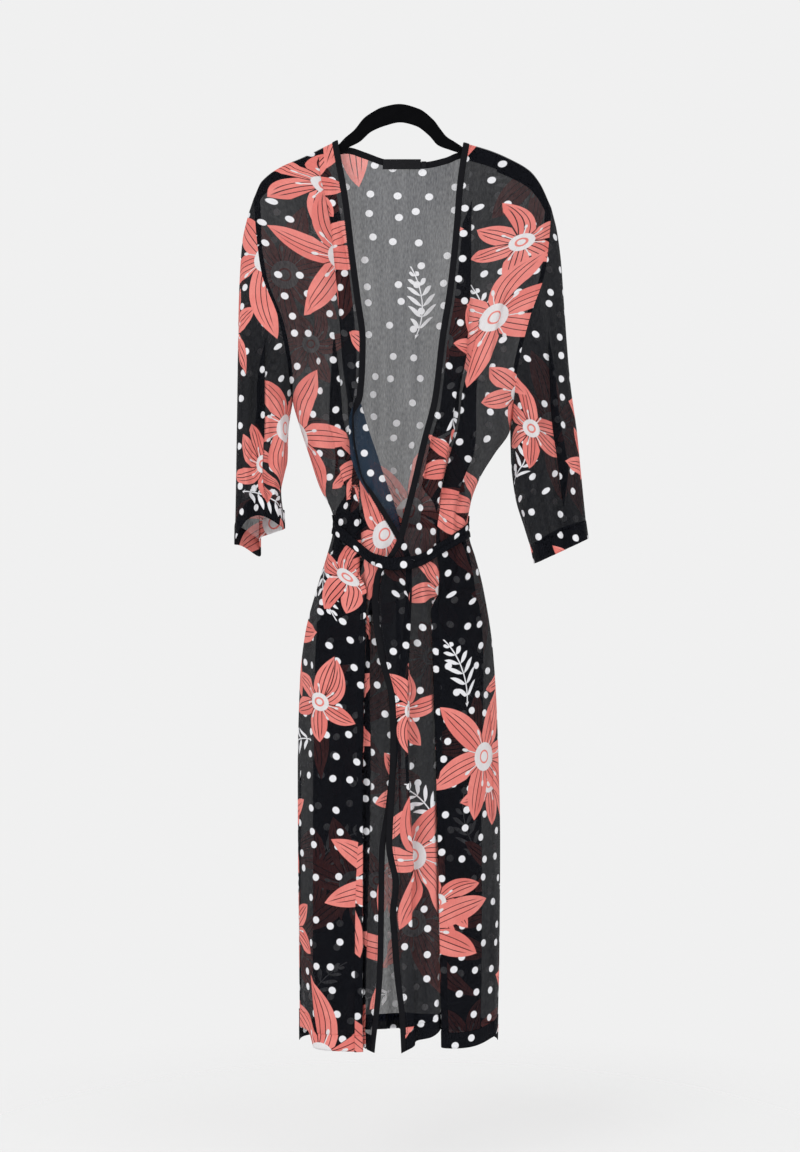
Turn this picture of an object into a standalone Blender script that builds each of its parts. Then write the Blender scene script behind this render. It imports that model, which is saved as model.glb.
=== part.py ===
"""Sheer kimono coat hanging on a flat flocked hanger.

Lengths in this file are millimetres until a mesh is made, and metres in the meshes.
X runs to the right as one looks at the open front, Y runs to the back, Z is up.
The origin is the underside of the hanger's arch, where a peg or rail carries it.
"""

import math
from collections import namedtuple

import bpy
import numpy as np

MM = 0.001
SEAM_GAP = 0.3
BAND_GAP = 0.5
CUFF_GAP = 0.9
CLOTH_WALL = 1.2
BAND_WALL = 2.0
BELT_WALL = 2.0
LABEL_WALL = 1.0

EDGE_BAND = 8.5
HEM_BAND = 12.0
CUFF_BAND = 14.0
BELT_WIDTH = 26.0
BELT_TIED_WIDTH = 17.0
BELT_SIDE_WIDTH = 22.0
BELT_CLEARANCE = 3.2
BELT_ROWS = (0.5, 0.17, -0.17, -0.5)
# The right front lies over the left one: how far it is lifted, over what distance from the left
# edge it rises, and between what drops below the origin the lap begins and ends.
OVERLAP_LIFT = 4.5
OVERLAP_RISE = (10.0, 34.0)
OVERLAP_BEGINS = (530.0, 566.0)
OVERLAP_ENDS = (1010.0, 1080.0)
ARMHOLE_DEPTH = 36.0
SLEEVE_DEPTH = 40.0
# How far the middle of the left cuff's near rim arches up, and how its rear flap hangs out.
CUFF_ARCH = 29.0
CUFF_FLAP = (8.0, 12.0, -20.0)
FAR_RIM_RISE = 5.0
SIDE_ROUNDNESS = 2.3
RIDGE_DROP = 4.2
# The first columns beside a seam: how far in the first one lies, and the second.
TURN_IN = 1.8
SECOND_IN = 4.7
HEM_LEVEL = -1274.0
TOP_LEVEL = -23.0
NECK_STEP = 3.5

HANGER_THICKNESS = 5.0
HANGER_EDGE_ROUND = 1.0
HANGER_BELOW_RIDGE = 3.4

FRONT_COLUMNS = 22
SHOULDER_COLUMNS = 10
NECK_COLUMNS = 15
SLEEVE_RINGS = 11
DENSE = 400

# Fractions of the way from the shoulder seam to the underarm, shared by body rows and sleeve columns.
UPPER_ROWS = (0, 0.0015, 0.006, 0.014, 0.04, 0.09, 0.17, 0.27, 0.38, 0.5, 0.62, 0.74, 0.85, 0.94, 1)
# Fractions of the way from the underarm to the hem, closer together at the tied waist.
LOWER_ROWS = (0.04, 0.09, 0.135, 0.17, 0.197, 0.222, 0.25, 0.29, 0.35, 0.43, 0.52, 0.62, 0.73, 0.85, 1)

# Shoulder seam over the hanger's arms, from the armhole to the neck: across, height.
SHOULDER_LEFT = ((-203, -105), (-192, -82), (-164, -61.5), (-133, -48.5), (-90, -28))
SHOULDER_RIGHT = ((92, -30), (122, -38.5), (153, -51.5), (179, -66.5), (194, -84.5), (210, -118))
# Lower edge of the bound back neckline: across, height.
NECKLINE = ((-93.8, -45), (-84, -42), (-74, -41), (-50, -48), (-25, -57), (4, -62.5), (35, -61.5),
            (66, -55), (84, -48), (95.8, -47))
# Where the back's shoulder seams end beside the neck binding.
NECK_FROM, NECK_TO = -94.6, 96.6
# Armhole seam and, below the underarm, the side seam: height, across.
OUTER_LEFT = ((-105, -203), (-160, -198), (-214, -190), (-276, -167), (-330, -156), (-388, -149),
              (-420, -140), (-463, -126), (-508, -111), (-537, -96), (-556, -91), (-574, -94),
              (-600, -101), (-636, -112), (-712, -132), (-776, -139), (-900, -142), (-1274, -139))
OUTER_RIGHT = ((-118, 210), (-165, 206), (-214, 199), (-276, 178), (-350, 161), (-427, 153),
               (-461, 131), (-494, 111), (-530, 98), (-560, 94), (-580, 97), (-602, 104),
               (-649, 116), (-733, 129), (-830, 135), (-1000, 139), (-1160, 138), (-1274, 135))
UNDERARM_LEFT = -388.0
UNDERARM_RIGHT = -427.0
# Middle of the bound front edges: height, across.
EDGE_LEFT = ((-28, -90), (-114, -75), (-183, -67), (-251, -58), (-306, -51), (-347, -52), (-382, -55),
             (-419, -64), (-457, -63), (-489, -54), (-519, -37), (-550, -18), (-581, 0), (-611, 12),
             (-650, 12), (-717, 7), (-826, -3), (-934, -14), (-1002, -22), (-1152, -24), (-1274, -30))
EDGE_RIGHT = ((-30, 92), (-60, 87), (-100, 82), (-141, 79), (-237, 69), (-306, 58), (-388, 48),
              (-443, 34), (-498, 21), (-553, 7), (-581, 0), (-596, -8), (-629, -30), (-663, -34),
              (-730, -29), (-798, -23), (-907, -22), (-988, -21), (-1042, -15), (-1097, -9),
              (-1164, -4), (-1232, 3), (-1274, 5))
# Half depths of the hanging body: height, depth.
FRONT_DEPTH = ((-23, 4.6), (-45, 7), (-60, 10), (-100, 16), (-160, 23), (-230, 30), (-300, 36),
               (-388, 42), (-460, 44), (-520, 42), (-590, 40), (-640, 46), (-712, 58), (-800, 68),
               (-940, 78), (-1100, 84), (-1274, 88))
BACK_DEPTH = ((-23, 4.6), (-45, 6.5), (-60, 8), (-100, 12), (-160, 17), (-230, 21), (-300, 26),
              (-388, 32), (-460, 35), (-520, 35), (-560, 34), (-640, 42), (-712, 51), (-800, 58),
              (-940, 65), (-1100, 69), (-1274, 71))
# Middle line of the tied belt: across, height.
BELT_FRONT = ((-94, -560), (-60, -588), (-33, -609), (-8, -613), (16, -612), (60, -589), (98, -564))
BELT_BACK = ((-94, -556), (-50, -550), (0, -549), (50, -550), (98, -558))
KNOT_FROM, KNOT_TO = -34.0, 16.0
# Blank label and size tab inside the back neck: left, right, low, high.
LABEL_CORNERS = (-24.0, 29.0, -64.0, -50.0)
TAB_CORNERS = (29.6, 36.5, -62.0, -53.0)

# Sleeve outlines from the armhole to the cuff: share of the way down, across, height.
SLEEVE_LEFT_OUT = ((0, -203, -105), (0.06, -212, -133), (0.13, -219, -166), (0.21, -222, -205),
                   (0.32, -224, -256), (0.58, -226, -386), (0.86, -228, -518), (1, -229, -572))
SLEEVE_LEFT_IN = ((0, -149, -388), (0.25, -155, -430), (0.48, -156, -468), (0.62, -161, -491),
                  (0.74, -165, -512), (1, -161, -550))
SLEEVE_RIGHT_OUT = ((0, 210, -118), (0.07, 218, -151), (0.17, 224, -197), (0.3, 228, -256),
                    (0.52, 236, -358), (0.69, 246, -433), (0.81, 251, -484), (1, 259, -564))
SLEEVE_RIGHT_IN = ((0, 153, -427), (0.25, 154, -469), (0.5, 160, -520), (0.78, 173, -564),
                   (1, 184, -599))

# Hanger arch between the shoulders: across, height of the upper and of the lower edge.
ARCH_TOP = ((-98, -38), (-92, -37), (-84, -29.5), (-77, -22), (-64, -11), (-50, 6), (-37, 15),
            (-25, 21), (-1, 25.5), (26, 19), (47, 3), (56, -9), (65, -20), (76, -27), (85, -33),
            (93, -38.5), (100, -40))
HANGER_UNDER = ((-184, -92), (-175, -83), (-157, -72), (-135, -64), (-94, -46), (-74, -36),
                (-56, -27), (-40, -13), (-20, -4.5), (0, 0), (22, -5), (40, -18), (53, -32),
                (70, -38.5), (96, -47), (135, -63), (160, -74), (178, -88), (187, -100))
HANGER_TIP_LEFT = (-191, -92)
HANGER_TIP_RIGHT = (193, -98)

# Folds of a sleeve: place round the half ring at armhole and cuff, share of the length where each
# begins, width round the ring, how far it stands out, and its side (-1 front, 1 back).
SleeveFold = namedtuple("SleeveFold", "top foot start width out face")
SLEEVE_FOLDS = (
    SleeveFold(0.42, 0.4, 0.12, 0.12, -11, -1),
    SleeveFold(0.8, 0.72, 0.25, 0.1, -6, -1),
    SleeveFold(0.45, 0.5, 0.15, 0.12, -10, 1),
)

# One row for each large fold: heights and places of its line at top, middle and foot, half width,
# how far it stands out (inwards if negative), how far it leans to the right, and how far the hem lifts.
Fold = namedtuple("Fold", "top top_x middle middle_x foot foot_x width out lean lift")
LEFT_FOLDS = (
    Fold(-600, -60, -934, -66, -1300, -46, 10, -24, 6, 6),
    Fold(-880, -122, -1070, -125, -1300, -124, 9, -13, -4, 4),
    Fold(-610, -84, -900, -94, -1300, -90, 20, 8, 0, 0),
    Fold(-390, -112, -480, -92, -555, -72, 8, -7, 3, 0),
    Fold(-400, -88, -480, -70, -560, -56, 7, -6, 3, 0),
    Fold(-120, -104, -300, -88, -420, -86, 10, -5, 0, 0),
)
RIGHT_FOLDS = (
    Fold(-615, 52, -900, 60, -1300, 68, 10, -30, -6, 14),
    Fold(-640, 92, -934, 114, -1300, 116, 9, -14, 4, 3),
    Fold(-605, 74, -900, 88, -1300, 92, 14, 7, 0, 0),
    Fold(-625, -5, -830, -12, -1085, 0, 11, 8, 19, 0),
    Fold(-400, 62, -480, 44, -560, 30, 7, -8, -3, 0),
    Fold(-430, 124, -500, 98, -560, 76, 7, -7, -3, 0),
)
BACK_FOLDS = (
    Fold(-585, -74, -900, -108, -1300, -106, 11, -13, 4, 4),
    Fold(-580, -44, -900, -66, -1300, -70, 12, -17, -5, 5),
    Fold(-575, -16, -900, -26, -1300, -30, 12, -14, 4, 3),
    Fold(-575, 14, -900, 20, -1300, 26, 13, -18, 5, 5),
    Fold(-580, 42, -900, 62, -1300, 70, 11, -14, -4, 3),
    Fold(-585, 72, -900, 102, -1300, 108, 12, -16, 4, 4),
    Fold(-380, -66, -470, -46, -600, -18, 10, -9, 12, 0),
    Fold(-330, -110, -450, -88, -545, -60, 12, -6, 3, 0),
    Fold(-350, 108, -450, 84, -545, 56, 12, -7, -3, 0),
    Fold(-360, 30, -450, 24, -545, 18, 10, -5, 2, 0),
)
BELT_REACH = 17.0
BELT_HOLD = 0.9
FOLD_FADE = 55.0


def smooth(rows, at):
    """Curve without overshoot through rows of (position, value), read at the given positions."""
    rows = np.array(sorted(rows), float)
    xs, ys = rows[:, 0], rows[:, 1]
    at = np.clip(np.asarray(at, float), xs[0], xs[-1])
    steps = np.diff(xs)
    slopes = np.diff(ys) / steps
    tangents = np.concatenate([slopes[:1], np.zeros(len(slopes) - 1), slopes[-1:]])
    same = slopes[:-1] * slopes[1:] > 0
    both = slopes[:-1][same], slopes[1:][same]
    tangents[1:-1][same] = 2 * both[0] * both[1] / (both[0] + both[1])
    i = np.clip(np.searchsorted(xs, at, side="right") - 1, 0, len(steps) - 1)
    t = (at - xs[i]) / steps[i]
    return (
        ys[i] * (1 + 2 * t) * (1 - t) ** 2
        + steps[i] * tangents[i] * t * (1 - t) ** 2
        + ys[i + 1] * t * t * (3 - 2 * t)
        + steps[i] * tangents[i + 1] * t * t * (t - 1)
    )


def ramp(value, start, end):
    """0 at start, 1 at end, eased between."""
    t = np.clip((np.asarray(value, float) - start) / (end - start), 0, 1)
    return t * t * (3 - 2 * t)


def blend(a, b, share):
    return a + (b - a) * share


def spaced(points, count, first=0.0):
    """Points at even distances along a line of points, starting a given length along it."""
    lengths = np.concatenate([[0], np.cumsum(np.linalg.norm(np.diff(points, axis=0), axis=1))])
    wanted = np.linspace(first, lengths[-1], count)
    return np.stack([np.interp(wanted, lengths, points[:, axis]) for axis in range(3)], 1)


def unit(vectors):
    return vectors / np.linalg.norm(vectors, axis=-1, keepdims=True)


def belt_level(x, face):
    return smooth(BELT_FRONT if face < 0 else BELT_BACK, x)


def displaced(points, folds, face, sides):
    """Moves points by the folds of their panel, less so at the side seams and under the belt."""
    x, z = points[:, 0], points[:, 2]
    free = np.ones(len(x))
    for side in sides:
        free *= 1 - np.exp(-(((x - side) / 9) ** 2))
    free *= 1 - BELT_HOLD * np.exp(-(((z - belt_level(x, face)) / BELT_REACH) ** 2))
    shift = np.zeros((len(x), 3))
    for fold in folds:
        line = ((fold.top, fold.top_x), (fold.middle, fold.middle_x), (fold.foot, fold.foot_x))
        near = np.exp(-(((x - smooth(line, z)) / fold.width) ** 2))
        strength = near * free * ramp(-z, -fold.top - 8, -fold.top + FOLD_FADE)
        if fold.foot > HEM_LEVEL:
            strength = strength * (1 - ramp(-z, -fold.foot - FOLD_FADE, -fold.foot + 8))
        shift[:, 0] += fold.lean * strength
        shift[:, 1] += fold.out * face * strength
        shift[:, 2] += fold.lift * strength * ramp(-z, -HEM_LEVEL - 160, -HEM_LEVEL)
    return points + shift


def ridge(drop):
    """How far the cloth has come off the hanger's top at a drop below the shoulder seam."""
    return np.sqrt(1 - (1 - np.clip(drop / RIDGE_DROP, 0, 1)) ** 2)


def half_gap(x, z, underarm):
    """Half of the gap at a seam, wider where the seam turns at the shoulder tip and underarm."""
    at_tip = ramp(np.abs(x), 180, 200)
    at_underarm = np.exp(-(((z - underarm) / 30) ** 2))
    return SEAM_GAP / 2 + 0.12 + 0.6 * at_tip + 0.2 * at_underarm


def armhole_depth(share):
    return ARMHOLE_DEPTH * np.sin(math.pi * np.clip(share, 0, 1)) ** 0.8


def side_rise(q, sharp):
    """Rise of a section from its side seam towards its middle, sharp below the underarm."""
    q = np.clip(q, 0, 1)
    round_side = (1 - (1 - q) ** SIDE_ROUNDNESS) ** (1 / SIDE_ROUNDNESS)
    soft_side = 1 - (1 - np.clip(q / 0.5, 0, 1)) ** 2
    return blend(soft_side, round_side, sharp)


def depth_level(upper, lower, z):
    """Height at which a row reads the depth table: by share above the underarm, by height below."""
    return blend(TOP_LEVEL, UNDERARM_LEFT, upper) if lower is None else z


def front_line(side, upper, lower):
    """Dense section of a front, from its outer seam to its free edge, before the folds."""
    outer, edge = (OUTER_LEFT, EDGE_LEFT) if side < 0 else (OUTER_RIGHT, EDGE_RIGHT)
    shoulder = SHOULDER_LEFT if side < 0 else SHOULDER_RIGHT
    underarm = UNDERARM_LEFT if side < 0 else UNDERARM_RIGHT
    tip = min(shoulder, key=lambda row: row[1])
    neck = max(shoulder, key=lambda row: row[1])
    foot = HEM_LEVEL + HEM_BAND + SEAM_GAP
    if lower is None:
        outer_z, inner_z = blend(tip[1], underarm, upper), blend(neck[1], underarm, upper)
    else:
        outer_z = inner_z = blend(underarm, foot, lower)
    outer_x = smooth(outer, outer_z)
    inner_x = smooth(edge, inner_z) + side * EDGE_BAND / 2
    u = np.linspace(0, 1, DENSE)
    x = blend(outer_x, inner_x, u)
    z = blend(outer_z, inner_z, u)
    neck_x = neck[0] + side * EDGE_BAND / 2
    seam = smooth(shoulder, blend(tip[0], neck_x, u)) - CLOTH_WALL / 2
    z = z + (seam - blend(tip[1], neck[1], u)) * (1 - upper) ** 1.5
    drop = seam - z
    low = depth_level(upper, lower, z)
    boundary = armhole_depth(upper) if lower is None else 0.0
    sharp = ramp(upper, 0.8, 1)
    depth = blend(boundary, smooth(FRONT_DEPTH, low), side_rise((x - outer_x) / -outer_x, sharp))
    if side > 0:
        over_left = 1 - ramp(x - smooth(EDGE_LEFT, z), *OVERLAP_RISE)
        lap = ramp(-z, *OVERLAP_BEGINS) * (1 - ramp(-z, *OVERLAP_ENDS))
        depth = depth + OVERLAP_LIFT * over_left * lap
    gap = half_gap(x, z, underarm)
    y = -(gap + np.maximum(depth - gap, 0) * (ridge(drop) if lower is None else 1))
    return np.stack([x, y, z], 1)


def back_line(upper, lower):
    """Dense section of the back from the left seam to the right one, before the folds."""
    tips = SHOULDER_LEFT[0], SHOULDER_RIGHT[-1]
    foot = HEM_LEVEL + HEM_BAND + SEAM_GAP
    if lower is None:
        left_z = blend(tips[0][1], UNDERARM_LEFT, upper)
        right_z = blend(tips[1][1], UNDERARM_RIGHT, upper)
    else:
        left_z, right_z = blend(UNDERARM_LEFT, foot, lower), blend(UNDERARM_RIGHT, foot, lower)
    left_x, right_x = smooth(OUTER_LEFT, left_z), smooth(OUTER_RIGHT, right_z)
    u = np.linspace(0, 1, DENSE)
    x, z = blend(left_x, right_x, u), blend(left_z, right_z, u)
    across = blend(tips[0][0], tips[1][0], u)
    shoulders = np.where(across < 0, smooth(SHOULDER_LEFT, across), smooth(SHOULDER_RIGHT, across))
    in_neck = ((across > NECK_FROM) & (across < NECK_TO)).astype(float)
    seam = blend(shoulders, smooth(NECKLINE, across), in_neck) - CLOTH_WALL / 2
    z = z + (seam - blend(tips[0][1], tips[1][1], u)) * (1 - upper) ** 1.5
    drop = seam - z
    low = depth_level(upper, lower, z)
    boundary = armhole_depth(upper) if lower is None else 0.0
    q = np.where(x < 0, (x - left_x) / -left_x, (right_x - x) / right_x)
    depth = blend(boundary, smooth(BACK_DEPTH, low), side_rise(q, ramp(upper, 0.8, 1)))
    depth = depth + NECK_STEP * in_neck * (1 - upper) ** 4
    rise = blend(ridge(drop), 1, in_neck) if lower is None else 1
    gap = half_gap(x, z, np.where(x < 0, UNDERARM_LEFT, UNDERARM_RIGHT))
    y = gap + np.maximum(depth - gap, 0) * rise
    return np.stack([x, y, z], 1)


def rows_of_body():
    return [(share, None) for share in UPPER_ROWS] + [(1, share) for share in LOWER_ROWS]


def seam_column(point, face, inwards, lower):
    """The point just inside a seam, so that both pieces meet there face to face."""
    if lower is None:
        return point + np.array([inwards * TURN_IN, 0, 0])
    return point + np.array([0, face * TURN_IN, 0])


def front_grid(side):
    """Rows of points of a front: the outer seam first, the free edge last."""
    folds = LEFT_FOLDS if side < 0 else RIGHT_FOLDS
    grid = []
    for upper, lower in rows_of_body():
        line = front_line(side, upper, lower)
        line = displaced(line, folds, -1, [line[0, 0]])
        inner = seam_column(line[0], -1, -side, lower if upper < 1 else 1)
        grid.append(np.vstack([line[:1], [inner], spaced(line, FRONT_COLUMNS - 2, SECOND_IN)]))
    return np.array(grid)


def neck_shares():
    """Shares of the back's width at which its neckline begins and ends."""
    width = SHOULDER_RIGHT[-1][0] - SHOULDER_LEFT[0][0]
    return [(x - SHOULDER_LEFT[0][0]) / width for x in (NECK_FROM, NECK_TO)]


def back_grid():
    """Rows of the back: a shoulder's columns, the neck's and the other shoulder's."""
    grid = []
    start, end = (int(share * (DENSE - 1)) + 1 for share in neck_shares())
    for upper, lower in rows_of_body():
        line = back_line(upper, lower)
        line = displaced(line, BACK_FOLDS, 1, [line[0, 0], line[-1, 0]])
        turned = lower if upper < 1 else 1
        first = seam_column(line[0], 1, 1, turned)
        last = seam_column(line[-1], 1, -1, turned)
        left = spaced(line[:start], SHOULDER_COLUMNS, SECOND_IN)
        neck = spaced(line[start:end], NECK_COLUMNS)
        right = spaced(line[:end - 1:-1], SHOULDER_COLUMNS, SECOND_IN)[::-1]
        grid.append(np.vstack([line[:1], [first], left, neck, right, [last], line[-1:]]))
    return np.array(grid)


def edge_band_grid(panel, side):
    """Bound edge that carries a front on past its free edge, and over the hanger to the back."""
    outwards = unit(panel[:, -1] - panel[:, -2])
    start = panel[:, -1] + outwards * BAND_GAP
    grid = np.stack([start + outwards * EDGE_BAND * share for share in (0, 0.5, 1)], 1)
    below = grid[-1] + unit(grid[-1] - grid[-2]) * (HEM_BAND + SEAM_GAP)
    behind = grid[[2, 1]] * np.array([1, -1, 1])
    return np.vstack([behind, grid, [below]])


def hem_band_grid(panel):
    down = unit(panel[-1] - panel[-2])
    return np.array([panel[-1] + down * (BAND_GAP + HEM_BAND * share) for share in (0, 0.5, 1)])


def neck_band_grid(back):
    """Binding above the back's neckline, from behind one arm of the hanger to the other."""
    line = back[0, 2 + SHOULDER_COLUMNS:2 + SHOULDER_COLUMNS + NECK_COLUMNS].copy()
    along = unit(np.gradient(line, axis=0))
    upwards = unit(np.stack([-along[:, 2], along[:, 1] * 0, along[:, 0]], 1))
    line[0], line[-1] = blend(line[0], line[1], 0.15), blend(line[-1], line[-2], 0.15)
    return np.array([line + upwards * (BAND_GAP + EDGE_BAND * share) for share in (1, 0.5, 0)])


def belt_grid(panel, face, widths, end_x=None):
    """Belt stretch over a panel, on the panel's own columns, cut off at end_x across."""
    shares = np.linspace(0, 1, panel.shape[1])
    wide = np.interp(shares, np.linspace(0, 1, len(widths)), widths)
    grid = []
    for height in BELT_ROWS:
        line = []
        for j, column in enumerate(np.swapaxes(panel, 0, 1)[:, ::-1]):
            x = np.interp(belt_level(0, face), column[:, 2], column[:, 0])
            for _ in range(4):
                z = belt_level(x, face) + height * wide[j]
                x = np.interp(z, column[:, 2], column[:, 0])
            line.append((x, np.interp(z, column[:, 2], column[:, 1]), z))
        grid.append(line)
    grid = np.array(grid)
    if end_x is None:
        return grid
    reach = grid[len(BELT_ROWS) // 2, :, 0]
    last = np.nonzero(abs(reach - reach[0]) > abs(end_x - reach[0]))[0][0]
    share = (end_x - reach[last - 1]) / (reach[last] - reach[last - 1])
    end = blend(grid[:, last - 1], grid[:, last], share)
    return np.concatenate([grid[:, :last], end[:, None]], 1)


def moved_out(grid, distance):
    """Points of a grid moved along its normals, away from the coat's middle."""
    normals = unit(np.cross(np.gradient(grid, axis=0), np.gradient(grid, axis=1)))
    away = np.sign((normals * grid * np.array([1, 1, 0])).sum(-1, keepdims=True))
    return grid + normals * away * distance


def knot_grid():
    """Flat middle of the tied belt, laid over both fronts where they cross."""
    grid = []
    for height in np.linspace(0.5, -0.5, 5):
        x = np.linspace(KNOT_FROM, KNOT_TO, 8)
        z = belt_level(x, -1) + height * BELT_TIED_WIDTH
        swell = 2.2 * np.cos(math.pi * height) * np.sin(math.pi * np.linspace(0.06, 0.94, 8))
        y = -(smooth(FRONT_DEPTH, z) + OVERLAP_LIFT + BELT_CLEARANCE + 0.9 + swell)
        grid.append(np.stack([x, y, z], 1))
    return np.array(grid)


def cuff_shaped(ring, w, face, side, v):
    """The last rings of a sleeve: the left cuff arches up in front and hangs in a fold behind."""
    low = ramp(v, 0.72, 1)
    near, far = (face < 0) * np.sin(math.pi * w ** 0.8), (face > 0) * np.sin(math.pi * w)
    if side > 0:
        return ring + np.stack([w * 0, w * 0, FAR_RIM_RISE * far * low], 1)
    flap = (face > 0) * np.exp(-(((w - 0.27) / 0.17) ** 2)) * ramp(v, 0.5, 1)
    return ring + np.outer(flap, CUFF_FLAP) + np.outer(CUFF_ARCH * near * low, (0, 0, 1))


def sleeve_grid(side):
    """Rings of a sleeve from the armhole to the cuff, each round from the top of the shoulder."""
    out_rows = SLEEVE_LEFT_OUT if side < 0 else SLEEVE_RIGHT_OUT
    in_rows = SLEEVE_LEFT_IN if side < 0 else SLEEVE_RIGHT_IN
    outer = OUTER_LEFT if side < 0 else OUTER_RIGHT
    shares = np.array(UPPER_ROWS)
    w = np.concatenate([shares, shares[-2:0:-1]])
    face = np.concatenate([-np.ones(len(shares)), np.ones(len(shares) - 2)])
    face[0] = face[len(shares) - 1] = 0
    grid = []
    for v in np.linspace(0, 1, SLEEVE_RINGS) ** 0.9:
        out_x, out_z = (smooth([(r[0], r[i]) for r in out_rows], v) for i in (1, 2))
        in_x, in_z = (smooth([(r[0], r[i]) for r in in_rows], v) for i in (1, 2))
        straight_x, straight_z = blend(out_x, in_x, w), blend(out_z, in_z, w)
        seam_z = blend(out_rows[0][2], in_rows[0][2], w)
        seam_x = smooth(outer, seam_z)
        left_over = (1 - v) ** 2
        x = straight_x + (seam_x - blend(out_rows[0][1], in_rows[0][1], w)) * left_over
        z = straight_z + (seam_z - blend(out_rows[0][2], in_rows[0][2], w)) * left_over
        depth = blend(armhole_depth(w), SLEEVE_DEPTH * np.sin(math.pi * w) ** 0.62, ramp(v, 0, 0.5))
        for fold in SLEEVE_FOLDS:
            near = np.exp(-(((w - blend(fold.top, fold.foot, v)) / fold.width) ** 2))
            depth = depth + fold.out * near * (face == fold.face) * ramp(v, fold.start, fold.start + 0.3)
        ring = np.stack([x, face * np.maximum(depth, SEAM_GAP / 2), z], 1)
        grid.append(cuff_shaped(ring, w, face, side, v))
    grid = np.array(grid)
    grid[0, :, 0] += side * (SEAM_GAP + 1.5 * ramp(w, 0.8, 1))
    grid[1:3, :, 0] += side * 1.6 * ramp(w, 0.8, 1)
    first = grid[0].copy()
    first[:, 0] += side * TURN_IN * 0.6 * (1 - ramp(w, 0.7, 0.95))
    return np.vstack([grid[:1], [first], grid[1:]])


def cuff_grid(sleeve):
    down = unit(unit(sleeve[-1] - sleeve[-2]) + 2 * unit(sleeve[-1].mean(0) - sleeve[-2].mean(0)))
    return np.array([sleeve[-1] + down * (CUFF_GAP + CUFF_BAND * share) for share in (0, 0.5, 1)])


def arm_top(shoulder, xs):
    """Upper edge of one arm, the same distance below the shoulder seam on slopes as on flats."""
    slopes = smooth(shoulder, xs + 0.5) - smooth(shoulder, xs - 0.5)
    return list(zip(xs, smooth(shoulder, xs) - HANGER_BELOW_RIDGE * np.sqrt(1 + slopes ** 2)))


def hanger_outline():
    """Flat outline of the hanger: over the arms and the arch, and back along its underside."""
    left = np.linspace(-187, -101, 8)
    arch = np.linspace(-98, 100, 34)
    right = np.linspace(103, 189, 8)
    top = arm_top(SHOULDER_LEFT, left) + [(x, smooth(ARCH_TOP, x)) for x in arch]
    top += arm_top(SHOULDER_RIGHT, right)
    under = [(x, smooth(HANGER_UNDER, x)) for x in np.linspace(187, -184, 38)]
    return top + [HANGER_TIP_RIGHT] + under + [HANGER_TIP_LEFT]


def finish(name, color, roughness, metallic=0.0):
    material = bpy.data.materials.new(name)
    material.use_nodes = True
    shader = material.node_tree.nodes["Principled BSDF"]
    shader.inputs["Base Color"].default_value = (*color, 1)
    shader.inputs["Roughness"].default_value = roughness
    shader.inputs["Metallic"].default_value = metallic
    return material


def sheet(collection, name, grid, wall, material, closed=False, flip=False):
    """Cloth piece: an open surface through a grid of points, given its wall by Solidify."""
    rows, columns = grid.shape[:2]
    points = grid.reshape(-1, 3) * MM
    faces = []
    for i in range(rows - 1):
        for j in range(columns if closed else columns - 1):
            k = (j + 1) % columns
            corners = (i * columns + j, i * columns + k, (i + 1) * columns + k, (i + 1) * columns + j)
            faces.append(corners[::-1] if flip else corners)
    mesh = bpy.data.meshes.new(name)
    mesh.from_pydata([tuple(p) for p in points], [], faces)
    mesh.shade_smooth()
    mesh.materials.append(material)
    thing = bpy.data.objects.new(name, mesh)
    wall_maker = thing.modifiers.new("wall", "SOLIDIFY")
    wall_maker.thickness = wall * MM
    wall_maker.offset = 0
    collection.objects.link(thing)
    return thing


def hanger(collection, material):
    """The hanger's flat bar: its outline as a filled curve with rounded edges."""
    curve = bpy.data.curves.new("hanger", "CURVE")
    curve.dimensions = "2D"
    curve.fill_mode = "BOTH"
    curve.extrude = (HANGER_THICKNESS / 2 - HANGER_EDGE_ROUND) * MM
    curve.bevel_depth = HANGER_EDGE_ROUND * MM
    curve.bevel_resolution = 0
    curve.offset = -HANGER_EDGE_ROUND * MM
    outline = hanger_outline()
    line = curve.splines.new("POLY")
    line.points.add(len(outline) - 1)
    for point, (x, z) in zip(line.points, outline):
        point.co = (x * MM, z * MM, 0, 1)
    line.use_cyclic_u = True
    curve.materials.append(material)
    thing = bpy.data.objects.new("hanger", curve)
    thing.rotation_euler = (math.pi / 2, 0, 0)
    collection.objects.link(thing)


def label_grid(back_band, corners):
    """Flat tab inside the back neck, just in front of the binding: corners left, right, low, high."""
    left, right, low, high = corners
    depth = back_band[..., 1].mean() - BAND_WALL / 2 - SEAM_GAP - LABEL_WALL / 2 - 0.4
    return np.array([[(x, depth, z) for x in (left, right)] for z in (high, low)])


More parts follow.
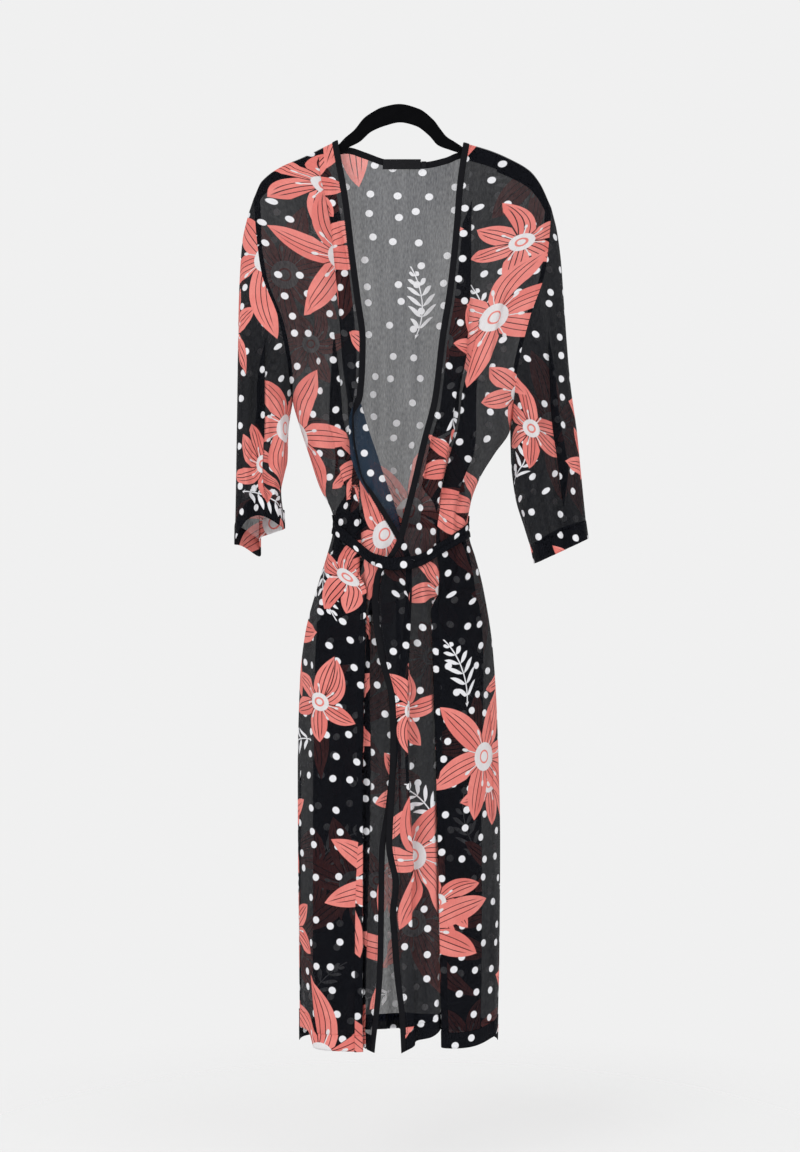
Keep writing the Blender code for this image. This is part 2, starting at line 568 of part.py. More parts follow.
def build():
    for thing in list(bpy.data.objects):
        bpy.data.objects.remove(thing, do_unlink=True)
    coat = bpy.data.collections.new("kimono_coat")
    bpy.context.scene.collection.children.link(coat)
    chiffon = finish("printed_chiffon", (0.022, 0.022, 0.028), 0.75)
    binding = finish("black_binding", (0.012, 0.012, 0.015), 0.7)
    flock = finish("black_flock", (0.006, 0.006, 0.007), 0.95)
    woven = finish("woven_label", (0.01, 0.01, 0.01), 0.6)

    hanger(coat, flock)
    back = back_grid()
    sheet(coat, "back", back, CLOTH_WALL, chiffon, flip=True)
    sheet(coat, "hem_back", hem_band_grid(back), BAND_WALL, chiffon, flip=True)
    neck = neck_band_grid(back)
    sheet(coat, "neck_binding", neck, BAND_WALL, binding, flip=True)
    sheet(coat, "label", label_grid(neck, LABEL_CORNERS), LABEL_WALL, woven)
    sheet(coat, "size_tab", label_grid(neck, TAB_CORNERS), LABEL_WALL, woven)
    belt_back = belt_grid(back, 1, (BELT_SIDE_WIDTH, BELT_WIDTH, BELT_WIDTH, BELT_SIDE_WIDTH))
    belt_back = moved_out(belt_back, BELT_CLEARANCE + 0.4)
    sheet(coat, "belt_back", belt_back, BELT_WALL, chiffon, flip=True)
    sheet(coat, "belt_knot", knot_grid(), BELT_WALL, chiffon)
    for side, word in ((-1, "left"), (1, "right")):
        front = front_grid(side)
        sheet(coat, f"front_{word}", front, CLOTH_WALL, chiffon, flip=side > 0)
        sheet(coat, f"edge_binding_{word}", edge_band_grid(front, side), BAND_WALL, binding, flip=side > 0)
        sheet(coat, f"hem_front_{word}", hem_band_grid(front), BAND_WALL, chiffon, flip=side > 0)
        end_x = KNOT_FROM - BAND_GAP if side < 0 else KNOT_TO + 2 * BAND_GAP
        belt = belt_grid(front, -1, (BELT_SIDE_WIDTH, BELT_TIED_WIDTH, BELT_TIED_WIDTH), end_x)
        belt = moved_out(belt, BELT_CLEARANCE)
        sheet(coat, f"belt_{word}", belt, BELT_WALL, chiffon, flip=side > 0)
        sleeve = sleeve_grid(side)
        sheet(coat, f"sleeve_{word}", sleeve, CLOTH_WALL, chiffon, closed=True, flip=side > 0)
        sheet(coat, f"cuff_{word}", cuff_grid(sleeve), BAND_WALL, chiffon, closed=True, flip=side > 0)


build()
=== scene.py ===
# %% [markdown]
# # A sheer kimono coat on its hanger
#
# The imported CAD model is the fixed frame: it says where every piece is. This lesson dresses it
# with thin cloth, print, bindings and stitches. Lengths are millimetres in the tables, because a
# pattern maker thinks in them, and become metres when a mesh is made.

# %% Load the frame
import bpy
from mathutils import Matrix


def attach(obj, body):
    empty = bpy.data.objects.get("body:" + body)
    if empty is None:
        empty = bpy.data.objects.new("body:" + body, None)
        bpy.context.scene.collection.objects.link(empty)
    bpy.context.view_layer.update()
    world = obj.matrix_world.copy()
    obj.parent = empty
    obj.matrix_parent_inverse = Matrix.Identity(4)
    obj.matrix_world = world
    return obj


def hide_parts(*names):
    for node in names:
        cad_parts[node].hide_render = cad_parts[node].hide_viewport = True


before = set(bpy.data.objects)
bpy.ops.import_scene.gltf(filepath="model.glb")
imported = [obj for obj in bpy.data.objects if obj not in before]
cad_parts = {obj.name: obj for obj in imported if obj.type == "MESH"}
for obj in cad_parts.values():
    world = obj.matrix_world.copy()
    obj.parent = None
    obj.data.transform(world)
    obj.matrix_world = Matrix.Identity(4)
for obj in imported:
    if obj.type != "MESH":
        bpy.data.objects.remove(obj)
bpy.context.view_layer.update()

import math
from collections import namedtuple

import bmesh
import bpy
import numpy as np

MM = 0.001
bpy.context.scene.view_settings.view_transform = "Standard"

# %% [markdown]
# ## Curves through short tables
#
# Every outline of the coat is a short table of (position, value) rows with a smooth curve through
# it. A monotone cubic never overshoots its rows, so a table says exactly how wide the cloth gets.

# %% Curves and spacing


def smooth(rows, at):
    """Curve without overshoot through rows of (position, value), read at the given positions."""
    rows = np.array(sorted(rows), float)
    xs, ys = rows[:, 0], rows[:, 1]
    at = np.clip(np.asarray(at, float), xs[0], xs[-1])
    steps = np.diff(xs)
    slopes = np.diff(ys) / steps
    tangents = np.concatenate([slopes[:1], np.zeros(len(slopes) - 1), slopes[-1:]])
    same = slopes[:-1] * slopes[1:] > 0
    both = slopes[:-1][same], slopes[1:][same]
    tangents[1:-1][same] = 2 * both[0] * both[1] / (both[0] + both[1])
    i = np.clip(np.searchsorted(xs, at, side="right") - 1, 0, len(steps) - 1)
    t = (at - xs[i]) / steps[i]
    return (
        ys[i] * (1 + 2 * t) * (1 - t) ** 2
        + steps[i] * tangents[i] * t * (1 - t) ** 2
        + ys[i + 1] * t * t * (3 - 2 * t)
        + steps[i] * tangents[i + 1] * t * t * (t - 1)
    )


def ramp(value, start, end):
    """0 at start, 1 at end, eased between."""
    t = np.clip((np.asarray(value, float) - start) / (end - start), 0, 1)
    return t * t * (3 - 2 * t)


def bump(distance, width):
    return np.exp(-((distance / width) ** 2))


def blend(a, b, share):
    return a + (b - a) * share


def unit(vectors):
    return vectors / np.maximum(np.linalg.norm(vectors, axis=-1, keepdims=True), 1e-9)


def lengths_along(points):
    return np.concatenate([[0], np.cumsum(np.linalg.norm(np.diff(points, axis=0), axis=1))])


def level_lengths(points):
    """Lengths along a line as seen from above, which is what a hanging cloth's width is."""
    return lengths_along(points * np.array([1, 1, 0]))


def spaced(points, count):
    """Points at even distances along a line, and the distance of each from the line's start."""
    lengths = lengths_along(points)
    wanted = np.linspace(0, lengths[-1], count)
    return np.stack([np.interp(wanted, lengths, points[:, k]) for k in range(3)], 1), wanted


print("a curve read half way:", float(smooth(((0, 0), (10, 4), (20, 5)), 15)))

# %% [markdown]
# ## The cut of the coat
#
# These are the same outlines as in the solids: shoulder seams over the hanger, armholes and side
# seams, the two slanting front edges, and how far the hanging cloth stands out in front and
# behind. A real pattern would be flat; here each row is where the hanging edge ends up.

# %% Outlines
SHOULDER_LEFT = ((-203, -105), (-192, -82), (-164, -61.5), (-133, -48.5), (-90, -28))
SHOULDER_RIGHT = ((92, -30), (122, -38.5), (153, -51.5), (179, -66.5), (194, -84.5), (210, -118))
NECKLINE = ((-93.8, -45), (-84, -42), (-74, -41), (-50, -48), (-25, -57), (4, -62.5), (35, -61.5),
            (66, -55), (84, -48), (95.8, -47))
NECK_FROM, NECK_TO = -94.6, 96.6
OUTER_LEFT = ((-105, -203), (-160, -198), (-214, -190), (-276, -167), (-330, -156), (-388, -149),
              (-420, -140), (-463, -126), (-508, -111), (-537, -96), (-556, -91), (-574, -94),
              (-600, -101), (-636, -112), (-712, -132), (-776, -139), (-900, -142), (-1274, -139))
OUTER_RIGHT = ((-118, 210), (-165, 206), (-214, 199), (-276, 178), (-350, 161), (-427, 153),
               (-461, 131), (-494, 111), (-530, 98), (-560, 94), (-580, 97), (-602, 104),
               (-649, 116), (-733, 129), (-830, 135), (-1000, 139), (-1160, 138), (-1274, 135))
UNDERARM_LEFT, UNDERARM_RIGHT = -388.0, -427.0
EDGE_LEFT = ((-28, -90), (-114, -75), (-183, -67), (-251, -58), (-306, -51), (-347, -52), (-382, -55),
             (-419, -64), (-457, -63), (-489, -54), (-519, -37), (-550, -18), (-581, 0), (-611, 12),
             (-650, 12), (-717, 7), (-826, -3), (-934, -14), (-1002, -22), (-1152, -24), (-1274, -30))
EDGE_RIGHT = ((-30, 92), (-60, 87), (-100, 82), (-141, 79), (-237, 69), (-306, 58), (-388, 48),
              (-443, 34), (-498, 21), (-553, 7), (-581, 0), (-596, -8), (-629, -30), (-663, -34),
              (-730, -29), (-798, -23), (-907, -22), (-988, -21), (-1042, -15), (-1097, -9),
              (-1164, -4), (-1232, 3), (-1274, 5))
FRONTS = {-1: (OUTER_LEFT, EDGE_LEFT, SHOULDER_LEFT, UNDERARM_LEFT),
          1: (OUTER_RIGHT, EDGE_RIGHT, SHOULDER_RIGHT, UNDERARM_RIGHT)}
FRONT_DEPTH = ((-23, 4.6), (-45, 7), (-60, 10), (-100, 16), (-160, 23), (-230, 30), (-300, 36),
               (-388, 42), (-460, 44), (-520, 42), (-590, 40), (-640, 46), (-712, 58), (-800, 68),
               (-940, 78), (-1100, 84), (-1274, 88))
BACK_DEPTH = ((-23, 4.6), (-45, 6.5), (-60, 8), (-100, 12), (-160, 17), (-230, 21), (-300, 26),
              (-388, 32), (-460, 35), (-520, 35), (-560, 34), (-640, 42), (-712, 51), (-800, 58),
              (-940, 65), (-1100, 69), (-1274, 71))
BELT_FRONT = ((-94, -560), (-60, -588), (-33, -609), (-8, -613), (16, -612), (60, -589), (98, -564))
BELT_BACK = ((-94, -556), (-50, -550), (0, -549), (50, -550), (98, -558))
EDGE_BAND, HEM_BAND, CUFF_BAND = 8.5, 12.0, 14.0
HEM_LEVEL = -1274.0
PANEL_FOOT = HEM_LEVEL + HEM_BAND
OVERLAP_LIFT = 4.5
OVERLAP_RISE = (10.0, 34.0)
OVERLAP_BEGINS = (530.0, 566.0)
OVERLAP_ENDS = (1010.0, 1080.0)
TOP_LEVEL = -23.0
NECK_STEP = 3.5
RIDGE_DROP = 4.2
SEAM_HALF_GAP, SEAM_DROP = 0.12, 0.2
SIDE_ROUNDNESS = 2.3
ARMHOLE_DEPTH, SLEEVE_DEPTH = 36.0, 40.0
print("shoulder to hem:", round(-28 - HEM_LEVEL), "mm")

# %% [markdown]
# ## Folds
#
# Hanging chiffon falls in long soft folds. Each row is one fold: where its line runs, how wide it
# is, how far it stands out or sinks in, and how far it leans. A fold that leans by more than its
# own width hangs over its neighbour, and the three layers of sheer cloth there look almost black.
# The rows are uneven on purpose: evenly spaced folds look like corrugated iron.

# %% Folds
Fold = namedtuple("Fold", "top top_x middle middle_x foot foot_x width out lean lift")
LEFT_FOLDS = (
    Fold(-600, -78, -900, -84, -1300, -84, 13, 9, 33, 2),
    Fold(-600, -55, -934, -61, -1300, -42, 8, -9, 3, 4),
    Fold(-640, -26, -900, -36, -1300, -40, 9, -9, -12, 2),
    Fold(-860, -124, -1070, -127, -1300, -127, 8, -14, -12, 4),
    Fold(-610, -104, -900, -112, -1300, -108, 11, 5, -6, 0),
    Fold(-390, -114, -480, -94, -555, -74, 7, -7, 9, 0),
    Fold(-400, -90, -480, -74, -560, -60, 7, -7, 9, 0),
    Fold(-330, -76, -440, -72, -560, -42, 6, -6, 8, 0),
    Fold(-80, -112, -300, -92, -440, -86, 9, -6, 7, 0),
    Fold(-120, -94, -230, -76, -340, -72, 5, -4, 5, 0),
    Fold(-190, -150, -290, -128, -420, -112, 9, -6, 6, 0),
    Fold(-470, -118, -520, -92, -560, -80, 5, -4, 4, 0),
)
RIGHT_FOLDS = (
    Fold(-625, 76, -900, 84, -1300, 92, 14, 9, -34, 2),
    Fold(-615, 48, -900, 56, -1300, 64, 8, -10, -4, 0),
    Fold(-640, 104, -934, 118, -1300, 120, 8, -14, 8, 3),
    Fold(-625, -5, -830, -12, -1085, 0, 11, 8, 21, 0),
    Fold(-620, 24, -830, 24, -1300, 32, 8, -7, -9, 0),
    Fold(-400, 62, -480, 46, -560, 32, 7, -8, -10, 0),
    Fold(-430, 126, -500, 98, -560, 78, 6, -7, -8, 0),
    Fold(-330, 96, -450, 78, -560, 58, 8, -6, -8, 0),
    Fold(-120, 122, -300, 104, -430, 96, 10, -6, -7, 0),
    Fold(-200, 168, -300, 140, -420, 122, 8, -6, -6, 0),
    Fold(-450, 112, -520, 88, -560, 84, 5, -4, -4, 0),
)
BACK_FOLDS = (
    Fold(-585, -84, -900, -112, -1300, -110, 11, -13, 12, 4),
    Fold(-580, -56, -900, -74, -1300, -78, 12, -15, -16, 5),
    Fold(-575, -22, -900, -32, -1300, -36, 12, -14, 14, 3),
    Fold(-575, 8, -900, 14, -1300, 20, 11, -16, -14, 5),
    Fold(-580, 38, -900, 52, -1300, 62, 11, -14, 15, 3),
    Fold(-585, 74, -900, 100, -1300, 106, 12, -15, -13, 4),
    Fold(-640, -4, -940, -8, -1300, -10, 7, 5, 8, 0),
    Fold(-380, -66, -470, -48, -600, -24, 12, -6, 5, 0),
    Fold(-330, -110, -450, -88, -545, -60, 10, -6, 8, 0),
    Fold(-350, 108, -450, 84, -545, 56, 10, -7, -8, 0),
    Fold(-360, 34, -450, 28, -545, 20, 8, -5, -6, 0),
    Fold(-420, -30, -480, -24, -548, -12, 6, -4, 5, 0),
)
# Small gathers that the tied belt draws in: wavelength, depth, phase, drift down the cloth.
GATHERS = ((13.5, 1.25, 0.3, 340), (19.5, 1.35, 2.1, -410), (8.3, 0.55, 4.4, 250), (31.0, 1.3, 1.2, -700))
# Slow waves of the free cloth, in the same columns.
DRAPE = ((27.0, 0.55, 1.9, -520), (41.0, 1.0, 0.4, 830), (63.0, 1.1, 3.0, -1200))
BELT_HOLD, BELT_REACH, FOLD_FADE, FOLD_START, SEAM_HOLD = 0.93, 16.0, 55.0, 8.0, 9.0
GATHER_ABOVE, GATHER_BELOW, DRAPE_FROM, HEM_LIFT_FROM = 62.0, 105.0, (90.0, 260.0), 160.0


def belt_level(x, face):
    return smooth(BELT_FRONT if face < 0 else BELT_BACK, x)


def waves(rows, x, z):
    return sum(d * np.sin(2 * math.pi * x / w + p + z / drift) for w, d, p, drift in rows)


def displaced(points, folds, face, sides):
    """Moves points by the folds of their panel, less so at the side seams and under the belt."""
    if not folds:
        return points
    x, z = points[:, 0], points[:, 2]
    free = np.ones(len(x))
    for side in sides:
        free *= 1 - bump(x - side, SEAM_HOLD)
    from_belt = z - belt_level(x, face)
    held = free * (1 - BELT_HOLD * bump(from_belt, BELT_REACH))
    shift = np.zeros((len(x), 3))
    for fold in folds:
        line = ((fold.top, fold.top_x), (fold.middle, fold.middle_x), (fold.foot, fold.foot_x))
        strength = bump(x - smooth(line, z), fold.width) * held
        strength = strength * ramp(-z, -fold.top - FOLD_START, -fold.top + FOLD_FADE)
        if fold.foot > HEM_LEVEL:
            strength = strength * (1 - ramp(-z, -fold.foot - FOLD_FADE, -fold.foot + FOLD_START))
        shift[:, 0] += fold.lean * strength
        shift[:, 1] += fold.out * face * strength
        shift[:, 2] += fold.lift * strength * ramp(-z, -HEM_LEVEL - HEM_LIFT_FROM, -HEM_LEVEL)
    near_belt = np.where(from_belt > 0, bump(from_belt, GATHER_ABOVE), bump(from_belt, GATHER_BELOW))
    gather = waves(GATHERS, x, z) * near_belt * (1 - 0.8 * bump(from_belt, 10))
    loose = waves(DRAPE, x, z) * ramp(-z, *DRAPE_FROM) * (1 - near_belt)
    shift[:, 1] += (gather + loose) * face * free
    return points + shift


print("folds:", len(LEFT_FOLDS), len(RIGHT_FOLDS), len(BACK_FOLDS))

# %% [markdown]
# ## Sections of the hanging body
#
# The body is a stack of sections. Above the underarm a section runs from the armhole to the edge,
# below it from side seam to edge. Near the top the cloth comes off the hanger's bar in a small
# round ridge, so the square root of a circle carries it from the seam to its depth.

# %% Body sections
DENSE = 900
UPPER_ROWS = [(u, None) for u in np.concatenate([[0, 0.0015, 0.004, 0.008, 0.014, 0.022, 0.032],
                                                 np.linspace(0.045, 1, 74)])]
LOWER_ROWS = [(1, w) for w in np.linspace(0, 1, 190)[1:]]
BODY_ROWS = UPPER_ROWS + LOWER_ROWS


def armhole_depth(share):
    return ARMHOLE_DEPTH * np.sin(math.pi * np.clip(share, 0, 1)) ** 0.8


def side_rise(q, sharp):
    """Rise of a section from its side seam towards its middle, sharp below the underarm."""
    q = np.clip(q, 0, 1)
    round_side = (1 - (1 - q) ** SIDE_ROUNDNESS) ** (1 / SIDE_ROUNDNESS)
    soft_side = 1 - (1 - np.clip(q / 0.5, 0, 1)) ** 2
    return blend(soft_side, round_side, sharp)


def off_the_bar(depth, drop, lower):
    """Depth of the cloth, rounded over the hanger's bar at the top of an upper row."""
    rise = 1.0 if lower is not None else np.sqrt(1 - (1 - np.clip(drop / RIDGE_DROP, 0, 1)) ** 2)
    return SEAM_HALF_GAP + np.maximum(depth - SEAM_HALF_GAP, 0) * rise


def row_ends(tops, underarms, upper, lower):
    """Heights of a row at its two ends: from tops to underarms above, down to the hem below."""
    if lower is None:
        return [blend(top, under, upper) for top, under in zip(tops, underarms)]
    return [blend(under, PANEL_FOOT, lower) for under in underarms]


def hanging(depths, z, from_side, upper, lower):
    """Depth of a section from the armhole's at its sides to the body's in its middle."""
    low = blend(TOP_LEVEL, UNDERARM_LEFT, upper) if lower is None else z
    boundary = armhole_depth(upper) if lower is None else 0.0
    return blend(boundary, smooth(depths, low), side_rise(from_side, ramp(upper, 0.8, 1)))


def front_line(side, upper, lower):
    """Section of a front, from its outer seam to its free edge, before the folds."""
    outer, edge, shoulder, underarm = FRONTS[side]
    (neck_x, neck_z), *_, (tip_x, tip_z) = shoulder[::side]
    outer_z, inner_z = row_ends((tip_z, neck_z), (underarm, underarm), upper, lower)
    outer_x = smooth(outer, outer_z)
    inner_x = smooth(edge, inner_z) + side * (EDGE_BAND / 2 - 1)
    u = np.linspace(0, 1, DENSE)
    x, z = blend(outer_x, inner_x, u), blend(outer_z, inner_z, u)
    seam = smooth(shoulder, blend(tip_x, neck_x, u)) - SEAM_DROP
    z = z + (seam - blend(tip_z, neck_z, u)) * (1 - upper) ** 1.5
    depth = hanging(FRONT_DEPTH, z, (x - outer_x) / -outer_x, upper, lower)
    if side > 0:
        over_left = 1 - ramp(x - smooth(EDGE_LEFT, z), *OVERLAP_RISE)
        lap = ramp(-z, *OVERLAP_BEGINS) * (1 - ramp(-z, *OVERLAP_ENDS))
        depth = depth + OVERLAP_LIFT * over_left * lap
    return np.stack([x, -off_the_bar(depth, seam - z, lower), z], 1)


def left_line(upper, lower):
    return front_line(-1, upper, lower)


def right_line(upper, lower):
    return front_line(1, upper, lower)


def back_line(upper, lower):
    """Section of the back from the left seam to the right one, before the folds."""
    (left_tip, left_top), (right_tip, right_top) = SHOULDER_LEFT[0], SHOULDER_RIGHT[-1]
    underarms = UNDERARM_LEFT, UNDERARM_RIGHT
    left_z, right_z = row_ends((left_top, right_top), underarms, upper, lower)
    left_x, right_x = smooth(OUTER_LEFT, left_z), smooth(OUTER_RIGHT, right_z)
    u = np.linspace(0, 1, DENSE)
    x, z = blend(left_x, right_x, u), blend(left_z, right_z, u)
    across = blend(left_tip, right_tip, u)
    shoulders = np.where(across < 0, smooth(SHOULDER_LEFT, across), smooth(SHOULDER_RIGHT, across))
    in_neck = ramp(across, NECK_FROM - 2, NECK_FROM) * (1 - ramp(across, NECK_TO, NECK_TO + 2))
    seam = blend(shoulders, smooth(NECKLINE, across), in_neck) - SEAM_DROP
    z = z + (seam - blend(left_top, right_top, u)) * (1 - upper) ** 1.5
    from_side = np.where(x < 0, (x - left_x) / -left_x, (right_x - x) / right_x)
    depth = hanging(BACK_DEPTH, z, from_side, upper, lower) + NECK_STEP * in_neck * (1 - upper) ** 4
    return np.stack([x, blend(off_the_bar(depth, seam - z, lower), depth, in_neck), z], 1)


LEVEL_HEMS = (((-300, 0), (300, 0)),) * 3
PLEAT_STEP, PLEAT_NEAR, PLEAT_FAR, PLEAT_FROM_ENDS, HEM_SHAPED_FROM = 0.4, 2, 14, 5, 960


def pleated(line, at, depth, gap, face, hems=LEVEL_HEMS):
    """The line with a knife pleat: over to a length along it, back under by its depth, and on."""
    arc = lengths_along(line)
    depth = min(depth, at - PLEAT_FROM_ENDS, arc[-1] - PLEAT_FROM_ENDS)
    if depth < 0.5:
        return line
    gap = gap * min(depth / 8, 1)
    back_to = at - depth
    steps = [np.arange(0, at, PLEAT_STEP), np.linspace(at, back_to, int(depth / PLEAT_STEP) + 3),
             np.append(np.arange(back_to, arc[-1], PLEAT_STEP), arc[-1])]
    levels = [gap * ramp(steps[0], back_to - PLEAT_FAR, back_to - PLEAT_NEAR), 0 * steps[1],
              -gap * (1 - ramp(steps[2], at + PLEAT_NEAR, at + PLEAT_FAR))]
    layers = []
    for s, level, hem_rows in zip(steps, levels, hems):
        points = np.stack([np.interp(s, arc, line[:, k]) for k in range(3)], 1)
        points[:, 1] += face * level
        low = ramp(-points[:, 2], HEM_SHAPED_FROM, -PANEL_FOOT)
        points[:, 2] += smooth(hem_rows, points[:, 0]) * low
        layers.append(points)
    over = np.sign(layers[0][-1, 0] - layers[0][0, 0]) * gap / 2
    for first, second, way in ((0, 1, over), (1, 2, -over)):
        turn = (layers[first][-1] + layers[second][0]) / 2 + np.array([way, 0, 0])
        layers[first] = np.vstack([layers[first], turn])
    return np.vstack(layers)


def with_pleat(line, pleat, face):
    """The line with its pleat where that crosses it; the pleat is laid from its own outer side."""
    same_way = (line[-1, 0] - line[0, 0]) * pleat.outer_side < 0
    ordered = line if same_way else line[::-1]
    past = (ordered[:, 0] - smooth(pleat.edge, ordered[:, 2])) * -pleat.outer_side
    k = int(np.argmax(past > 0))
    if k == 0:
        return line
    depth = float(smooth(pleat.depth, ordered[k, 2]))
    folded = pleated(ordered, lengths_along(ordered)[k], depth, pleat.gap, face, pleat.hems)
    return folded if same_way else folded[::-1]


def steadied(values, reach=30):
    """A column of values averaged over many neighbouring rows: cloth's own width changes slowly."""
    kernel = np.hanning(2 * reach + 3)[1:-1]
    padded = np.pad(values, reach, mode="reflect", reflect_type="odd")
    return np.convolve(padded, kernel / kernel.sum(), "valid")


def panel(line_of, folds, pleats, face, columns, middle_x):
    """Grid of points of a folded panel, and each point's place in the flat cloth."""
    grid, widths, middles = [], [], []
    for upper, lower in BODY_ROWS:
        line = line_of(upper, lower)
        sides = [line[0, 0]] if face < 0 else [line[0, 0], line[-1, 0]]
        way = np.sign(line[-1, 0] - line[0, 0])
        plain = level_lengths(line)
        middles.append(np.interp(0, (line[:, 0] - middle_x) * way, plain) / plain[-1])
        for pleat in pleats:
            line = with_pleat(line, pleat, face)
        points, _ = spaced(displaced(line, folds, face, sides), columns)
        grid.append(points)
        widths.append(level_lengths(points)[-1])
    grid = np.array(grid)
    across = (np.linspace(0, 1, columns) - steadied(np.array(middles))[:, None]) * way
    return grid, np.stack([across * steadied(np.array(widths))[:, None], grid[..., 2]], -1)


Pleat = namedtuple("Pleat", "outer_side edge depth gap hems")
LEFT_HEM = ((-145, 22), (-119, 22), (-111, 3), (-90, 0), (-60, 1), (-30, 0))
RIGHT_HEM_OVER = ((62, 22), (70, 16), (84, 7), (102, 3), (120, 8), (138, 16))
RIGHT_HEM_UNDER = ((2, 0), (12, 6), (40, 20), (66, 33), (90, 30))
LEFT_PLEATS = (
    Pleat(1, ((-46, -113), (-150, -101), (-270, -89), (-400, -78), (-540, -72)),
          ((-50, 0), (-90, 17), (-270, 25), (-440, 18), (-545, 0)), 1.2, LEVEL_HEMS),
    Pleat(-1, ((-300, -96), (-420, -84), (-520, -62), (-580, -54), (-640, -60), (-760, -64),
               (-934, -65), (-1274, -66)),
          ((-290, 0), (-400, 12), (-500, 30), (-640, 48), (-1274, 52)), 1.7, (LEFT_HEM,) * 3),
    Pleat(-1, ((-590, -20), (-640, -26), (-760, -30), (-934, -32), (-1274, -38)),
          ((-590, 0), (-690, 16), (-900, 20), (-1274, 14)), 1.2, LEVEL_HEMS),
)
RIGHT_PLEATS = (
    Pleat(-1, ((-100, 100), (-150, 98), (-270, 99), (-380, 92), (-470, 72), (-540, 52)),
          ((-110, 0), (-190, 22), (-380, 34), (-480, 30), (-545, 0)), 1.2, LEVEL_HEMS),
    Pleat(1, ((-290, 112), (-420, 88), (-520, 62), (-580, 50), (-640, 56), (-760, 60), (-934, 61),
              (-1274, 63)),
          ((-270, 0), (-400, 14), (-500, 32), (-640, 50), (-1274, 54)), 1.7,
          (RIGHT_HEM_OVER, RIGHT_HEM_OVER, RIGHT_HEM_UNDER)),
)
BACK_PLEATS = (
    Pleat(-1, ((-480, -40), (-560, -44), (-760, -58), (-1274, -64)),
          ((-470, 0), (-640, 26), (-1274, 34)), 1.5, LEVEL_HEMS),
    Pleat(1, ((-480, 56), (-560, 60), (-760, 78), (-1274, 84)),
          ((-470, 0), (-640, 22), (-1274, 30)), 1.5, LEVEL_HEMS),
)

FRONT_MIDDLE = 75
front_left, front_left_flat = panel(left_line, LEFT_FOLDS, LEFT_PLEATS, -1, 230, -FRONT_MIDDLE)
front_right, front_right_flat = panel(right_line, RIGHT_FOLDS, RIGHT_PLEATS, -1, 230, FRONT_MIDDLE)
back, back_flat = panel(back_line, BACK_FOLDS, BACK_PLEATS, 1, 330, 0)
plain_left, _ = panel(left_line, (), (), -1, 90, -FRONT_MIDDLE)
plain_right, _ = panel(right_line, (), (), -1, 90, FRONT_MIDDLE)
plain_back, _ = panel(back_line, (), (), 1, 140, 0)
print("points in the body's panels:", front_left.shape, front_right.shape, back.shape)

# %% [markdown]
# ## Sleeves
#
# A sleeve is a tube, flattened as it hangs. It is lofted from the armhole, where it repeats the
# body's seam, to the cuff, ring by ring. Its seam lies on the inner side, so the flat cloth is
# measured both ways from the outer fold.

# %% Sleeve rings
SLEEVE_LEFT_OUT = ((0, -203, -105), (0.06, -212, -133), (0.13, -219, -166), (0.21, -222, -205),
                   (0.32, -224, -256), (0.58, -226, -386), (0.86, -228, -518), (1, -229, -572))
SLEEVE_LEFT_IN = ((0, -149, -388), (0.25, -155, -430), (0.48, -156, -468), (0.62, -161, -491),
                  (0.74, -165, -512), (1, -161, -550))
SLEEVE_RIGHT_OUT = ((0, 210, -118), (0.07, 218, -151), (0.17, 224, -197), (0.3, 228, -256),
                    (0.52, 236, -358), (0.69, 246, -433), (0.81, 251, -484), (1, 259, -564))
SLEEVE_RIGHT_IN = ((0, 153, -427), (0.25, 154, -469), (0.5, 160, -520), (0.78, 173, -564),
                   (1, 184, -599))
SLEEVES = {-1: (SLEEVE_LEFT_OUT, SLEEVE_LEFT_IN), 1: (SLEEVE_RIGHT_OUT, SLEEVE_RIGHT_IN)}
SleeveFold = namedtuple("SleeveFold", "top foot start width out face")
SLEEVE_FOLDS = (
    SleeveFold(0.42, 0.4, 0.12, 0.1, -12, -1),
    SleeveFold(0.8, 0.72, 0.25, 0.09, -8, -1),
    SleeveFold(0.2, 0.16, 0.2, 0.07, -6, -1),
    SleeveFold(0.62, 0.58, 0.45, 0.06, -5, -1),
    SleeveFold(0.45, 0.5, 0.15, 0.12, -10, 1),
    SleeveFold(0.75, 0.78, 0.35, 0.08, -6, 1),
)
SleevePleat = namedtuple("SleevePleat", "top foot start depth")
SLEEVE_PLEATS = {-1: SleevePleat(0.52, 0.6, 0.12, 24), 1: SleevePleat(0.34, 0.42, 0.15, 20)}
SLEEVE_FRONT, SLEEVE_BEHIND = 140, 100
SLEEVE_FOLD_FADE, SLEEVE_PLEAT_ENDS, SLEEVE_GAP = 0.3, (0.72, 0.9), 1.5
SLEEVE_SQUARE, SLEEVE_ROUND, SLEEVE_FULL_FROM = 3.4, 0.55, 0.4
CUFF_ARCH, CUFF_FLAP, FAR_RIM_RISE = 29.0, (14.0, 12.0, -22.0), 5.0
SLEEVE_SHARES = np.concatenate([[0, 0.004, 0.012], np.linspace(0.025, 1, 76)])
SLEEVE_RINGS = 120


def cuff_shaped(ring, w, face, side, v):
    """The last rings: the left cuff arches up in front and hangs in a fold behind."""
    low = ramp(v, 0.72, 1)
    near, far = (face < 0) * np.sin(math.pi * w ** 0.8), (face > 0) * np.sin(math.pi * w)
    if side > 0:
        return ring + np.outer(FAR_RIM_RISE * far * low, (0, 0, 1))
    flap = (face > 0) * bump(w - 0.25, 0.13) * ramp(v, 0.5, 1)
    return ring + np.outer(flap, CUFF_FLAP) + np.outer(CUFF_ARCH * near * low, (0, 0, 1))


